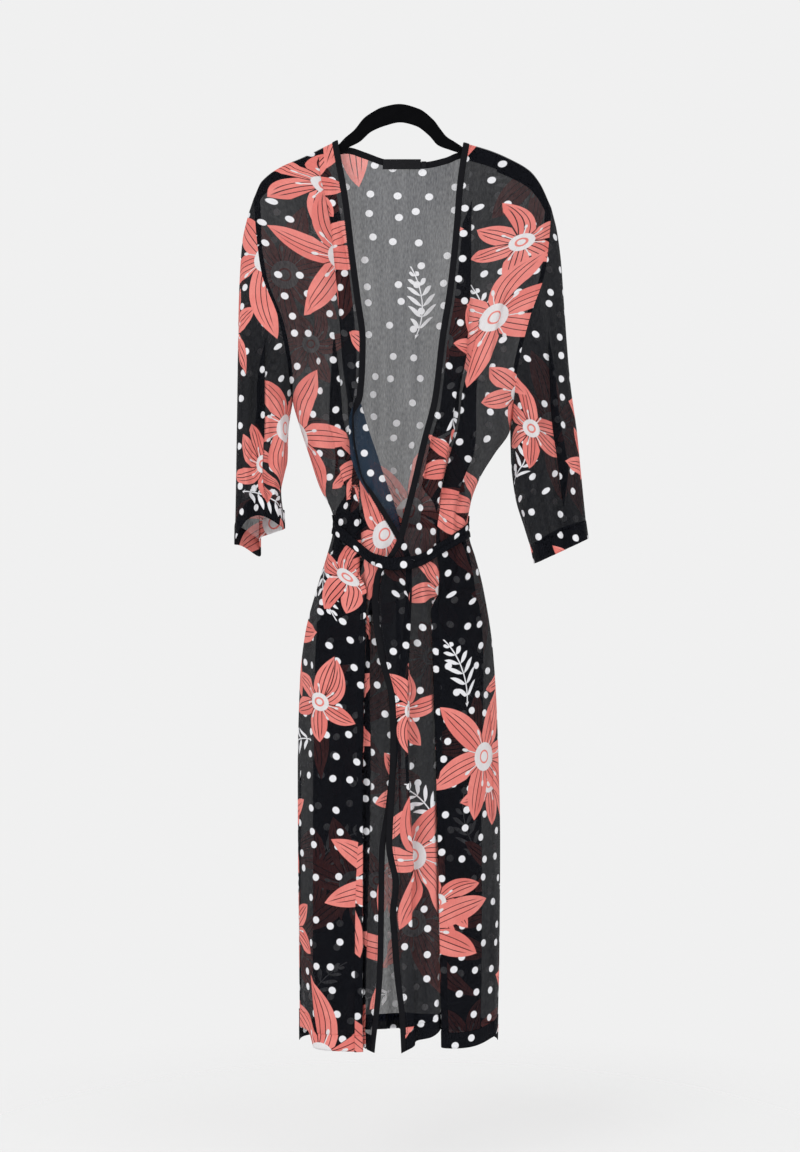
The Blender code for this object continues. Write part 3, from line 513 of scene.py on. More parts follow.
def sleeve(side):
    """Rings of a sleeve, each from the outer fold round the front and back, and the flat cloth."""
    out_rows, in_rows = SLEEVES[side]
    outer, pleat = FRONTS[side][0], SLEEVE_PLEATS[side]
    w = np.concatenate([SLEEVE_SHARES[::-1], SLEEVE_SHARES[1:]])
    half = len(SLEEVE_SHARES)
    face = np.concatenate([-np.ones(half), np.ones(half - 1)])
    face[half - 1] = 0
    grid = []
    for v in np.linspace(0, 1, SLEEVE_RINGS) ** 0.9:
        ends = [[smooth([(r[0], r[i]) for r in rows], v) for i in (1, 2)] for rows in (out_rows, in_rows)]
        (out_x, out_z), (in_x, in_z) = ends
        seam_z = blend(out_rows[0][2], in_rows[0][2], w)
        bowed = smooth(outer, seam_z) - blend(out_rows[0][1], in_rows[0][1], w)
        x = blend(out_x, in_x, w) + bowed * (1 - v) ** 2
        z = blend(out_z, in_z, w)
        full = SLEEVE_DEPTH * (1 - np.abs(2 * w - 1) ** SLEEVE_SQUARE) ** SLEEVE_ROUND
        depth = blend(armhole_depth(w), full, ramp(v, 0, SLEEVE_FULL_FROM))
        for fold in SLEEVE_FOLDS:
            near = bump(w - blend(fold.top, fold.foot, v), fold.width) * (face == fold.face)
            depth = depth + fold.out * near * ramp(v, fold.start, fold.start + SLEEVE_FOLD_FADE)
        loose = waves(DRAPE, w * 150 + 40 * face, z) * np.sin(math.pi * w) ** 0.5 * ramp(v, 0.03, 0.25)
        inner = np.minimum(1, (1 - w) * 40)
        ring = np.stack([x, face * (np.maximum(depth, 0.1) + loose) * inner, z], 1)
        ring = cuff_shaped(ring, w, face, side, v)
        front, behind = ring[:half][::-1], ring[half - 1:]
        reach = lengths_along(front)[-1]
        over = pleat.depth * ramp(v, pleat.start, pleat.start + SLEEVE_FOLD_FADE)
        over = over * (1 - ramp(v, *SLEEVE_PLEAT_ENDS))
        front = pleated(front, reach * blend(pleat.top, pleat.foot, v), over, SLEEVE_GAP, -1)[::-1]
        near, _ = spaced(front, SLEEVE_FRONT)
        far, _ = spaced(behind, SLEEVE_BEHIND)
        grid.append(np.vstack([near, far[1:]]))
    grid = np.array(grid)
    return grid[:, :-1], level_print(grid)


def level_print(grid):
    """Flat places on a slanting tube: widths are measured round level cuts, from the outer fold."""
    levels = np.arange(grid[..., 2].max(), grid[..., 2].min(), -2.0)
    cuts = np.stack([[np.interp(-levels, -grid[:, j, 2], grid[:, j, k]) for j in range(grid.shape[1])]
                     for k in (0, 1)])
    steps = np.hypot(*np.diff(cuts, axis=1))
    widths = np.vstack([0 * levels, np.cumsum(steps, axis=0)])
    widths = widths - widths[SLEEVE_FRONT - 1]
    u = np.stack([np.interp(-grid[:, j, 2], -levels, widths[j]) for j in range(grid.shape[1])], 1)
    return np.stack([u, grid[..., 2]], -1)


sleeve_left, sleeve_left_flat = sleeve(-1)
sleeve_right, sleeve_right_flat = sleeve(1)
print("points in a sleeve:", sleeve_left.shape)

# %% [markdown]
# ## Shader sums
#
# A print is a lot of arithmetic. Wiring it by hand gives a picture of spaghetti, so a small class
# wraps a socket and lets Python's own operators add the Math nodes. Any other node comes from one
# method, which takes its type, its settings and its sockets.

# %% A class for shader maths


class Flow:
    """A number that flows through a material: operators on it add the Math nodes."""

    def __init__(self, recipe, socket):
        self.recipe, self.socket = recipe, socket

    def to(self, operation, other=0.0):
        return self.recipe.math(operation, self, other)

    def __add__(self, other):
        return self.to("ADD", other)

    def __sub__(self, other):
        return self.to("SUBTRACT", other)

    def __rsub__(self, other):
        return self.recipe.math("SUBTRACT", other, self)

    def __mul__(self, other):
        return self.to("MULTIPLY", other)

    def __truediv__(self, other):
        return self.to("DIVIDE", other)

    def __pow__(self, other):
        return self.to("POWER", other)

    def __or__(self, other):
        """The larger of two, so one mask or the other."""
        return self.to("MAXIMUM", other)

    def __and__(self, other):
        """The smaller of two, so one mask and the other."""
        return self.to("MINIMUM", other)

    def __abs__(self):
        return self.to("ABSOLUTE")

    def past(self, start):
        """What is left of a number above its last whole one and a start."""
        return self - self.to("FLOOR") - start

    def step(self, softness):
        """0 where this is below zero and 1 above it, with an edge of the given width."""
        sockets = {0: self, 1: -softness / 2, 2: softness / 2}
        return self.recipe.out(self.recipe.node("ShaderNodeMapRange", None, sockets))

    __radd__, __rmul__ = __add__, __mul__


class Recipe:
    """One material under construction."""

    def __init__(self, name):
        self.material = bpy.data.materials.new(name)
        self.material.use_nodes = True
        self.nodes = self.material.node_tree.nodes
        self.links = self.material.node_tree.links
        self.shader = self.nodes["Principled BSDF"]

    def feed(self, socket, value):
        if isinstance(value, Flow):
            self.links.new(value.socket, socket)
        else:
            socket.default_value = value

    def node(self, kind, settings=None, sockets=None):
        """A node of a type, its settings made first, and the values or links of its sockets."""
        node = self.nodes.new(kind)
        for key, value in (settings or {}).items():
            setattr(node, key, value)
        for key, value in (sockets or {}).items():
            self.feed(node.inputs[key], value)
        return node

    def out(self, node, key=0):
        return Flow(self, node.outputs[key])

    def math(self, operation, a, b=0.0):
        return self.out(self.node("ShaderNodeMath", {"operation": operation}, {0: a, 1: b}))

    def mix(self, share, a, b):
        node = self.node("ShaderNodeMix", {"data_type": "RGBA"}, {0: share, 6: a, 7: b})
        return self.out(node, 2)

    def flat_cloth(self):
        """Place in the flat cloth, in metres, from the piece's own UV map."""
        return self.out(self.node("ShaderNodeUVMap", {"uv_map": "cloth"}))

    def place(self):
        return self.out(self.node("ShaderNodeTexCoord"), "Object")

    def split(self, vector):
        node = self.node("ShaderNodeSeparateXYZ", None, {0: vector})
        return [self.out(node, key) for key in range(3)]

    def join(self, x, y, z=0.0):
        return self.out(self.node("ShaderNodeCombineXYZ", None, {0: x, 1: y, 2: z}))

    def noise(self, vector, scale, detail=2.0):
        sockets = {"Vector": vector, "Scale": scale, "Detail": detail}
        return self.out(self.node("ShaderNodeTexNoise", {"noise_dimensions": "3D"}, sockets))

    def drawn_out(self, x, y, often, detail, layer=0.0):
        """Noise that changes so many times in a metre across the cloth, and so many along it."""
        return self.noise(self.join(x * often[0], y * often[1], layer), 1.0, detail)

    def chance(self, vector):
        """Three even random numbers for each whole cell."""
        node = self.node("ShaderNodeTexWhiteNoise", {"noise_dimensions": "3D"}, {"Vector": vector})
        return self.split(self.out(node, 1))

    def bumped(self, height, distance):
        return self.out(self.node("ShaderNodeBump", None, {"Height": height, "Distance": distance}))

    def finish(self, **sockets):
        for key, value in sockets.items():
            self.feed(self.shader.inputs[key.replace("_", " ")], value)
        return self.material


print("operators ready")

# %% [markdown]
# ## The print
#
# The cloth is printed white and coral on black: scattered round dots, large and small six-petalled
# flowers with a pale centre, and sprigs of leaves. Each motif sits in the cells of its own grid, and
# every cell moves, turns and sometimes drops its motif by chance, so the repeat doesn't show.

# %% Motifs
DOT_CELL, DOT_RADIUS = 0.0318, 0.0048
SPRIG_CELL, SPRIG_HALF, LEAF_REACH, LEAF_STEP, LEAF_WIDE = 0.235, 0.05, 0.02, 0.0145, 0.0042
CLOTH_TURN, STAMENS, RING_HALF = 0.38, 7, 0.0012
FULL_TURN, SHARP, FINE = 2 * math.pi, 0.001, 0.0004
Flower = namedtuple("Flower", "cell petal wide centre petals shift dropped")
LARGE_FLOWER = Flower(0.262, 0.108, 0.0172, 0.0195, 6, 0.0, 0.06)
SMALL_FLOWER = Flower(0.172, 0.066, 0.013, 0.0125, 6, 0.5, 0.45)


def cells(recipe, x, y, size, spread, shift=0.0):
    """Chances of the cell that a point is in, and its place from the cell's moved middle."""
    gx, gy = x / size + shift, y / size + shift
    ix, iy = gx.to("FLOOR"), gy.to("FLOOR")
    chances = recipe.chance(recipe.join(ix + 0.5, iy + 0.5, shift * 7 + size * 100))
    dx, dy = (gx - ix - 0.5) * size, (gy - iy - 0.5) * size
    return chances, dx - (chances[0] - 0.5) * spread, dy - (chances[1] - 0.5) * spread


def distance(x, y):
    return (x * x + y * y).to("SQRT")


def turned(x, y, sine, cosine):
    return x * cosine - y * sine, x * sine + y * cosine


def spokes(far, angle, count, ahead):
    """A turn parted into spokes: which one, and a place along it and beside its middle."""
    turn = angle * (count / FULL_TURN) + ahead
    inside = turn.past(0.5) * (FULL_TURN / count)
    return turn.to("FLOOR"), far * inside.to("COSINE"), far * inside.to("SINE")


def dots(recipe, x, y):
    (_, _, c), dx, dy = cells(recipe, x, y, DOT_CELL, (DOT_CELL / 2 - DOT_RADIUS) * 1.5)
    return (DOT_RADIUS - distance(dx, dy)).step(0.0007) * (c - 0.09).step(SHARP)


def flowers(recipe, x, y, kind):
    """Masks of a flower's petals, their lines, shaded halves, pale centre, stamens and ring."""
    spread = (kind.cell / 2 - kind.petal) * 2
    (a, b, c), dx, dy = cells(recipe, x, y, kind.cell, spread, kind.shift)
    kept = (c - kind.dropped).step(SHARP)
    far = distance(dx, dy)
    angle = dy.to("ARCTAN2", dx) + c * 6.28 + far * (b - 0.5) * (0.9 / kind.petal)

    which, out, sideways = spokes(far, angle, kind.petals, 10)
    number = which.to("MODULO", float(kind.petals))
    p, q, r = recipe.chance(recipe.join(number + 0.5, a * 31, b * 17))
    along = out / (kind.petal * (0.8 + 0.2 * p))
    across = sideways + (q - 0.5) * far * far * (0.95 / kind.petal)
    reach = (along | 0.0) & 1.0
    half_wide = (1 - reach ** 2.6) * (0.6 + reach) * (kind.wide / 0.9)
    petals = (half_wide - abs(across) - 0.0004).step(0.0006) * kept
    middle = (0.0006 - abs(across)).step(FINE) * (0.9 - along).step(0.1)
    side = (0.0005 - abs(abs(across) - half_wide * 0.42)).step(FINE) * (0.8 - along).step(0.1)
    border = (0.0008 - out * math.tan(math.pi / kind.petals) + abs(sideways)).step(0.0005)
    shaded = across.step(SHARP) * (r - 0.45).step(SHARP)

    centre = (kind.centre - far).step(0.0008) * kept
    ring = (RING_HALF - abs(far - kind.centre * 0.42)).step(0.0006) * kept
    _, out, beside = spokes(far, angle, STAMENS, 20)
    ray = (0.0006 - abs(beside)).step(FINE) * (kind.centre * 1.7 - out).step(SHARP)
    tip = distance(beside, (out - kind.centre * 1.85) * 0.5)
    stamens = (ray | (kind.centre * 0.11 - tip).step(0.0005)) * kept
    return petals, (middle | side | border) * petals, shaded, centre, stamens, ring


def sprigs(recipe, x, y):
    """White leaves in pairs on a thin bent stem, between the flowers."""
    (_, _, c), dx, dy = cells(recipe, x, y, SPRIG_CELL, 0.1, 0.3)
    along, across = turned(dx, dy, (c * 6.28).to("SINE"), (c * 6.28).to("COSINE"))
    side = abs(across - along * along * 5)
    taper = 1 - (abs(along) / SPRIG_HALF) ** 2.0
    reach = side / (LEAF_REACH * (taper | 0.02))
    offset = abs(((along - side * 0.9) / LEAF_STEP + 20).past(0.5) * LEAF_STEP)
    leaf_half = LEAF_WIDE * ((reach & 1.0) * math.pi).to("SINE")
    leaves = (leaf_half - offset - 0.0003).step(0.0006) * (0.97 - reach).step(0.02)
    stem = (0.0008 - side).step(0.0005)
    return (leaves | stem) * taper.step(0.05) * (0.8 - c).step(SHARP)


print("motif grids:", DOT_CELL, SMALL_FLOWER.cell, LARGE_FLOWER.cell)

# %% [markdown]
# ## Chiffon
#
# Chiffon is a thin, open plain weave of tightly twisted yarn, so it is see-through and slightly
# crinkled in long upright streaks. Where it is single the light behind shows; where it is doubled
# in a hem or the belt it is nearly solid. Alpha does this honestly: two layers hide what one half
# hides. The inks fill the weave unevenly, so each has its own cover.

# %% Printed chiffon
BLACK, WHITE = (0.003, 0.0034, 0.0055, 1), (0.84, 0.84, 0.87, 1)
CORAL, CORAL_DEEP = (0.85, 0.262, 0.228, 1), (0.72, 0.16, 0.138, 1)
# The last colour on the next line is a painted sheen for the raised crinkles of the chiffon.
INK, PALE, CRINKLE_SHEEN = (0.03, 0.01, 0.012, 1), (0.78, 0.76, 0.77, 1), (0.09, 0.095, 0.11, 1)
BLUE_BLACK, WRONG_SIDE_BLUE = (0.0035, 0.006, 0.014, 1), (0.016, 0.03, 0.052, 1)
BELT_HEIGHT, WEAVE = -0.57, (0.00055, 0.0006)
CRINKLE, STREAKS, CLOUDS = (640, 150), (95, 5), (16, 5)


def printed(name, black_cover, ink_cover, ground=BLACK, fuller=0.0, kinds=(SMALL_FLOWER, LARGE_FLOWER)):
    """Chiffon with the print, and how much of what is behind it each colour hides."""
    recipe = Recipe(name)
    flat = recipe.flat_cloth()
    x, y, _ = recipe.split(flat)
    turned_x, turned_y = turned(x, y, math.sin(CLOTH_TURN), math.cos(CLOTH_TURN))
    crinkle = recipe.drawn_out(x, y, CRINKLE, 3.0)
    streak = recipe.drawn_out(x, y, STREAKS, 2.0)
    cloudy = recipe.drawn_out(x, y, CLOUDS, 1.0, 4.0)
    weave_x = (x * (FULL_TURN / WEAVE[0])).to("SINE")
    weave_y = (y * (FULL_TURN / WEAVE[1])).to("SINE")
    patchy = (recipe.noise(flat, 55.0, 3.0) - 0.55).step(0.4)

    inked = dots(recipe, x, y) | sprigs(recipe, turned_x, turned_y)
    colour = recipe.mix(inked, ground, WHITE)
    for kind in kinds:
        petals, lines, shaded, centre, stamens, ring = flowers(recipe, turned_x, turned_y, kind)
        coral = recipe.mix(patchy * 0.5 | shaded * 0.6, CORAL, CORAL_DEEP)
        for mask, ink in ((petals, coral), (lines, INK), (stamens | centre, PALE), (ring, coral)):
            colour = recipe.mix(mask, colour, ink)
        inked = inked | petals | centre
    # Painted sheen: a pale grey-blue, at most a twentieth of the colour, is mixed in where the crinkle noise
    # that also raises the bump is high.
    colour = recipe.mix((crinkle - 0.5).step(0.5) * 0.05, colour, CRINKLE_SHEEN)

    level = recipe.split(recipe.place())[2]
    gathered = (BELT_HEIGHT - level).step(0.12) * fuller
    open_weave = (crinkle - 0.5) * 0.3 + (streak - 0.5) * 0.14 + (cloudy - 0.5) * 0.12
    cover = black_cover + gathered + inked * (ink_cover - black_cover) + open_weave
    height = crinkle + weave_x * 0.08 + weave_y * 0.08 + streak * 1.5
    return recipe.finish(Base_Color=colour, Alpha=(cover + weave_x * weave_y * 0.02) & 1.0,
                         Roughness=0.66 + crinkle * 0.25, Normal=recipe.bumped(height, 0.0005),
                         Specular_IOR_Level=0.05)


chiffon = printed("printed_chiffon_single", 0.785, 0.87, fuller=0.045)
back_chiffon = printed("printed_chiffon_of_back", 0.795, 0.87, BLUE_BLACK, fuller=0.04)
sleeve_chiffon = printed("printed_chiffon_of_sleeves", 0.88, 0.92)
turned_back = printed("printed_chiffon_turned_back", 0.93, 0.95, WRONG_SIDE_BLUE, kinds=())
doubled = printed("printed_chiffon_doubled", 0.965, 0.985)
belt_chiffon = printed("printed_chiffon_of_belt", 0.965, 0.985, kinds=())
print("chiffon nodes:", len(chiffon.node_tree.nodes))

# %% [markdown]
# ## Binding, flock, label and thread
#
# The bindings are strips of plain black cloth folded over the raw edge, so they show a fine rib
# and hardly any light. The hanger is plastic covered with short upright fibres: it drinks light
# at its middle and glows faintly at grazing angles, which is what sheen is for.

# %% Plain materials


def plain_cloth(name, dark, pale, rib, roughness):
    """Ribbed plain cloth: colour varies softly, and the rib runs across the strip."""
    recipe = Recipe(name)
    place = recipe.place()
    x, y, z = recipe.split(place)
    grain = recipe.noise(place, 900.0, 3.0)
    soft = recipe.noise(place, 60.0, 2.0)
    ribs = ((x + y + z) * (FULL_TURN / rib)).to("SINE")
    return recipe.finish(Base_Color=recipe.mix(grain * 0.6 + soft * 0.4, dark + (1,), pale + (1,)),
                         Roughness=roughness + grain * 0.15, Specular_IOR_Level=0.08,
                         Normal=recipe.bumped(ribs * 0.4 + grain, 0.0003))


def flocked(name, dark, pale):
    recipe = Recipe(name)
    place = recipe.place()
    fibres = recipe.noise(place, 2600.0, 2.0)
    brushed = recipe.noise(place, 90.0, 3.0)
    return recipe.finish(Base_Color=recipe.mix(fibres * 0.5 + brushed * 0.5, dark + (1,), pale + (1,)),
                         Normal=recipe.bumped(fibres, 0.0006), Roughness=0.95,
                         Specular_IOR_Level=0.03, Sheen_Weight=0.012, Sheen_Roughness=0.5)


binding, wrong_side, label_cloth, thread = (plain_cloth(*row) for row in (
    ("black_folded_binding", (0.002, 0.002, 0.003), (0.012, 0.012, 0.015), 0.0011, 0.6),
    ("black_wrong_side_of_cloth", (0.003, 0.003, 0.004), (0.012, 0.012, 0.016), 0.0009, 0.75),
    ("black_woven_label", (0.005, 0.005, 0.006), (0.022, 0.022, 0.025), 0.0008, 0.5),
    ("black_sewing_thread", (0.012, 0.012, 0.014), (0.05, 0.05, 0.055), 0.0006, 0.45)))
flock = flocked("black_flock_fibres", (0.0008, 0.0008, 0.001), (0.005, 0.005, 0.006))
print("materials:", len(bpy.data.materials))

# %% [markdown]
# ## From grids to cloth
#
# A panel's grid becomes one mesh. Its UV map holds each corner's place in the flat cloth, so the
# print runs undisturbed over every fold, as it does on the real roll. Sheer cloth is a single
# layer here: a second wall would hide the light twice.

# %% Meshes of cloth
made = {}


def placed(name, data):
    """An object in the scene that holds a mesh, a curve, a lamp or a camera."""
    thing = bpy.data.objects.new(name, data)
    bpy.context.scene.collection.objects.link(thing)
    return thing


def finished(name, mesh, material):
    """A smooth mesh with one material becomes a piece that is known by its name."""
    mesh.shade_smooth()
    mesh.materials.clear()
    mesh.materials.append(material)
    made[name] = placed(name, mesh)
    return made[name]


def cloth(name, grid, flat, material, start=(0.0, 0.0), flip=False, closed=False):
    """Single-layer cloth through a grid of points in mm; flat has one more column where closed."""
    rows, columns = grid.shape[:2]
    spans = columns if closed else columns - 1
    i, j = (k.ravel() for k in np.meshgrid(np.arange(rows - 1), np.arange(spans), indexing="ij"))
    k = (j + 1) % columns
    corners = np.stack([i * columns + j, i * columns + k, (i + 1) * columns + k, (i + 1) * columns + j], 1)
    places = np.stack([flat[i, j], flat[i, j + 1], flat[i + 1, j + 1], flat[i + 1, j]], 1)
    if flip:
        corners, places = corners[:, ::-1], places[:, ::-1]
    mesh = bpy.data.meshes.new(name)
    mesh.from_pydata((grid.reshape(-1, 3) * MM).tolist(), [], corners.tolist())
    layer = mesh.uv_layers.new(name="cloth")
    layer.data.foreach_set("uv", (places.reshape(-1, 2) * MM + np.array(start)).ravel())
    return finished(name, mesh, material)


def with_wall(thing, wall):
    """Gives a piece the thickness of its folded layers."""
    solid = thing.modifiers.new("layers", "SOLIDIFY")
    solid.thickness, solid.offset = wall * MM, 0


def area_of(thing):
    return round(sum(p.area for p in thing.data.polygons), 3)


Panel = namedtuple("Panel", "grid flat material start flip closed")
PANELS = {
    "back": Panel(back, back_flat, back_chiffon, (0.31, 1.7), True, False),
    "front_left": Panel(front_left, front_left_flat, chiffon, (1.42, 1.21), False, False),
    "front_right": Panel(front_right, front_right_flat, chiffon, (2.24, 0.9), True, False),
    "sleeve_left": Panel(sleeve_left, sleeve_left_flat, sleeve_chiffon, (3.1, 1.1), False, True),
    "sleeve_right": Panel(sleeve_right, sleeve_right_flat, sleeve_chiffon, (3.9, 1.52), True, True),
}
for name, part in PANELS.items():
    cloth("coat_" + name, *part)
print("areas in square metres:", {name: area_of(thing) for name, thing in made.items()})

# %% [markdown]
# ## Seam allowances
#
# Inside every seam the two cloths' edges lie together, trimmed and oversewn. Under sheer cloth they
# show as plain dark bands along the shoulders, armholes and sides. Each band repeats a block of its
# panel's own grid, a little further in, so it follows the cloth exactly.

# %% Seam allowances
SHOULDER_ROWS, ALL_ACROSS, BACK_SHOULDERS = (2, 8), 400, 70
ARMHOLE_WIDE = ((0, 15), (10, 13), (24, 5), (len(UPPER_ROWS), 5), (len(BODY_ROWS), 6))


def allowances(name, grid, flip, share, shoulders):
    """Quads of a panel along its shoulders and its outer seams, without the grid's unused points."""
    high, wide = grid.shape[:2]
    i, j = np.meshgrid(np.arange(high - 1), np.arange(wide - 1), indexing="ij")
    both = name == "back"
    from_seam = np.minimum(j, wide - 2 - j) if both else j
    outer = from_seam < smooth(ARMHOLE_WIDE, i) * share
    on_shoulder = (i < SHOULDER_ROWS[1]) & (from_seam < shoulders)
    first = (i * wide + j)[(on_shoulder | outer) & (i >= SHOULDER_ROWS[0])]
    quads = np.stack([first, first + 1, first + wide + 1, first + wide], 1)
    used, corners = np.unique(quads, return_inverse=True)
    corners = corners.reshape(-1, 4)[:, ::-1 if flip else 1]
    points = grid.reshape(-1, 3)[used]
    points[:, 1] += (-1 if both else 1) * np.minimum(0.8, 0.3 * np.abs(points[:, 1]))
    mesh = bpy.data.meshes.new(name)
    mesh.from_pydata((points * MM).tolist(), [], corners.tolist())
    finished("allowances_of_" + name, mesh, wrong_side)


for name in ("front_left", "front_right", "back"):
    reach = (0.7, BACK_SHOULDERS) if name == "back" else (1, ALL_ACROSS)
    allowances(name, PANELS[name].grid, PANELS[name].flip, *reach)
print("allowances:", [name for name in made if name.startswith("allow")])

# %% [markdown]
# ## The turned edge
#
# Above the belt the left front's edge has rolled inwards, so a narrow wedge of its inner side
# shows beyond the binding, paler and bluer than the rest. It is part of the same cloth, laid here
# as a strip that starts behind the edge and widens downwards to where the belt holds it.

# %% Turned edge
TURNED = ((-384, -57), (-398, -52), (-423, -45), (-458, -33), (-492, -22), (-530, -8), (-564, 2),
          (-600, 10))


def turned_edge():
    z = np.linspace(-386, -598, 90)
    outer, inner = smooth(EDGE_LEFT, z) - 6, smooth(TURNED, z)
    depth = -smooth(FRONT_DEPTH, z)
    shares = np.linspace(0, 1, 26)
    grid = np.stack([np.stack([blend(outer, inner, u),
                               depth + 4 + 9 * u ** 1.5 + 1.2 * np.sin(u * 9 + z / 60) * u, z], 1)
                     for u in shares], 1)
    flat = np.stack([grid[..., 0] - 20, grid[..., 2]], -1)
    cloth("turned_edge_of_front_left", grid, flat, turned_back, PANELS["front_left"].start)


turned_edge()
print("turned edge:", area_of(made["turned_edge_of_front_left"]))

# %% [markdown]
# ## Hems and cuffs
#
# A hem is the cloth's own end folded twice and stitched, so it is a band of the same print, nearly
# solid. It carries on from the panel's last row, and a thin Solidify gives its folded thickness.

# %% Hems and cuffs
HEM_WALL, HEM_INSIDE = 0.9, 0.7


def inward(line):
    """Direction from the coat's outside to its inside at each point of a row."""
    middle = line.mean(0) * np.array([1, 0, 1])
    return -unit((line - middle) * np.array([0.1, 1, 0]))


def hem(name, panel_above, depth, down):
    """Band below a panel's last row, with the print carried on."""
    grid, flat, _, start, flip, closed = panel_above
    shares = np.linspace(-0.8, 1, 8)
    band = np.array([grid[-1] + down * depth * s - inward(grid[-1]) * HEM_INSIDE for s in shares])
    place = np.array([flat[-1] - np.array([0, depth * s]) for s in shares])
    with_wall(cloth(name, band, place, doubled, start, flip, closed), HEM_WALL)


for name, part in PANELS.items():
    if part.closed:
        steady = unit(part.grid[-1].mean(0) - part.grid[-12].mean(0))
        hem("cuff_of_" + name, part, CUFF_BAND, unit(unit(part.grid[-1] - part.grid[-8]) + 2 * steady))
    else:
        hem("hem_of_" + name, part, HEM_BAND, unit(part.grid[-1] - part.grid[-4]))
print("hems:", [name for name in made if name.startswith(("hem", "cuff"))])

# %% [markdown]
# ## Bindings
#
# A binding is a folded strip that wraps the cut edge: flat, a little fuller in its middle, with
# round long sides. A closed ring of points is swept along the edge, and both ends are capped.

# %% Folded bindings
BINDING_SIDES, BINDING_WALL = 12, 1.9


def softened(grid, reach):
    """The same grid with its columns averaged over their neighbours."""
    kernel = np.hanning(reach + 2)[1:-1]
    wide = np.pad(grid, ((0, 0), (reach // 2, reach // 2), (0, 0)), mode="edge")
    return np.apply_along_axis(np.convolve, 1, wide, kernel / kernel.sum(), "valid")


def strip(name, start, across, out, width):
    """Closed strip along rows of start points: across is its width's direction, out its thickness's."""
    turn = np.linspace(0, FULL_TURN, BINDING_SIDES, endpoint=False)
    wide = 0.5 - 0.5 * np.sign(np.cos(turn)) * np.abs(np.cos(turn)) ** 0.8
    thick = np.sign(np.sin(turn)) * np.abs(np.sin(turn)) ** 0.55 / 2
    ring = start[:, None] + across[:, None] * (width * wide)[None, :, None]
    ring = ring + out[:, None] * (BINDING_WALL * thick)[None, :, None]
    flat = np.zeros((len(start), BINDING_SIDES + 1, 2))
    flat[..., 0] = np.linspace(0, 1, BINDING_SIDES + 1) * width
    flat[..., 1] = lengths_along(start)[:, None]
    thing = cloth(name, ring, flat, binding, closed=True)
    last = (len(start) - 1) * BINDING_SIDES
    close_ends(thing.data, [range(BINDING_SIDES)[::-1], range(last, last + BINDING_SIDES)])


def close_ends(mesh, rings):
    """Caps a tube and turns all its faces outwards."""
    work = bmesh.new()
    work.from_mesh(mesh)
    work.verts.ensure_lookup_table()
    for ring in rings:
        work.faces.new([work.verts[k] for k in ring])
    bmesh.ops.recalc_face_normals(work, faces=work.faces)
    work.to_mesh(mesh)
    work.free()
    mesh.shade_smooth()


def front_binding(name, grid, side):
    """Binding of a front's edge, on over the shoulder to meet the neck binding behind."""
    edge = grid[:, -1]
    across = unit(softened(unit(edge - grid[:, -6])[None], 7)[0])
    out = unit(np.cross(unit(np.gradient(edge, axis=0)), across)) * side
    foot = edge[-1] + unit(edge[-1] - edge[-3]) * HEM_BAND
    behind = edge[8:2:-1] * np.array([1, -1, 1]) + np.array([0, 1.5, 0])
    start = np.vstack([behind, edge, [foot]])
    across, out = (np.pad(rows, ((len(behind), 1), (0, 0)), mode="edge") for rows in (across, out))
    strip(name, start - across * 1.2, across, out, EDGE_BAND + 0.4)


def neck_curve():
    """The back's neckline, read off its own top row."""
    top = back[0]
    inside = (top[:, 0] > NECK_FROM + 1) & (top[:, 0] < NECK_TO - 1)
    return spaced(top[inside], 90)[0]


front_binding("binding_of_front_left", front_left, -1)
front_binding("binding_of_front_right", front_right, 1)
neck_line = neck_curve()
neck_along = unit(np.gradient(neck_line, axis=0))
neck_up = unit(np.stack([-neck_along[:, 2], 0 * neck_along[:, 1], neck_along[:, 0]], 1))
neck_out = np.tile([[0.0, 1.0, 0.0]], (len(neck_line), 1))
strip("binding_of_neck", neck_line - neck_up * 0.8, neck_up, neck_out, EDGE_BAND + 0.6)
print("bindings made:", [name for name in made if name.startswith("binding")])

# %% [markdown]
# ## The tied belt
#
# The belt is a tube of the printed cloth pressed flat. Behind it lies level; in front its two ends
# run down to the middle, where they cross. It is laid on the panels' own points, so it sits on the
# folds everywhere, and only then moved out by its clearance and smoothed, as a stiffer band does.

# %% Belt
BELT_WIDTH, BELT_TIED, BELT_SIDE = 26.0, 17.0, 22.0
KNOT_FROM, KNOT_TO, KNOT_LAP, KNOT_POINTS = -34.0, 16.0, 9.0, 40
BELT_CLEARANCE, BELT_WALL, KNOT_WALL = 3.6, 1.6, 1.8
BELT_SOFT, SIDE_CLEARANCE, CLEAR_FROM = 15, 1.2, 30
BELT_PRINT = np.array([5.2, 1.3])


def on_panel(grid, face, widths, end_x=None):
    """Belt rows over a panel, on its own columns, cut off at end_x across."""
    shares = np.linspace(0, 1, grid.shape[1])
    wide = np.interp(shares, np.linspace(0, 1, len(widths)), widths)
    rows = []
    for height in np.linspace(0.5, -0.5, 9):
        line = []
        for j in range(grid.shape[1]):
            column = grid[::-1, j]
            x = column[len(column) // 2, 0]
            for _ in range(4):
                z = belt_level(x, face) + height * wide[j]
                x = np.interp(z, column[:, 2], column[:, 0])
            line.append((x, np.interp(z, column[:, 2], column[:, 1]), z))
        rows.append(line)
    rows = np.array(rows)
    middle = rows[len(rows) // 2, :, 0]
    if end_x is not None:
        last = np.nonzero(abs(middle - middle[0]) > abs(end_x - middle[0]))[0][0]
        rows = rows[:, :last + 1]
    return rows


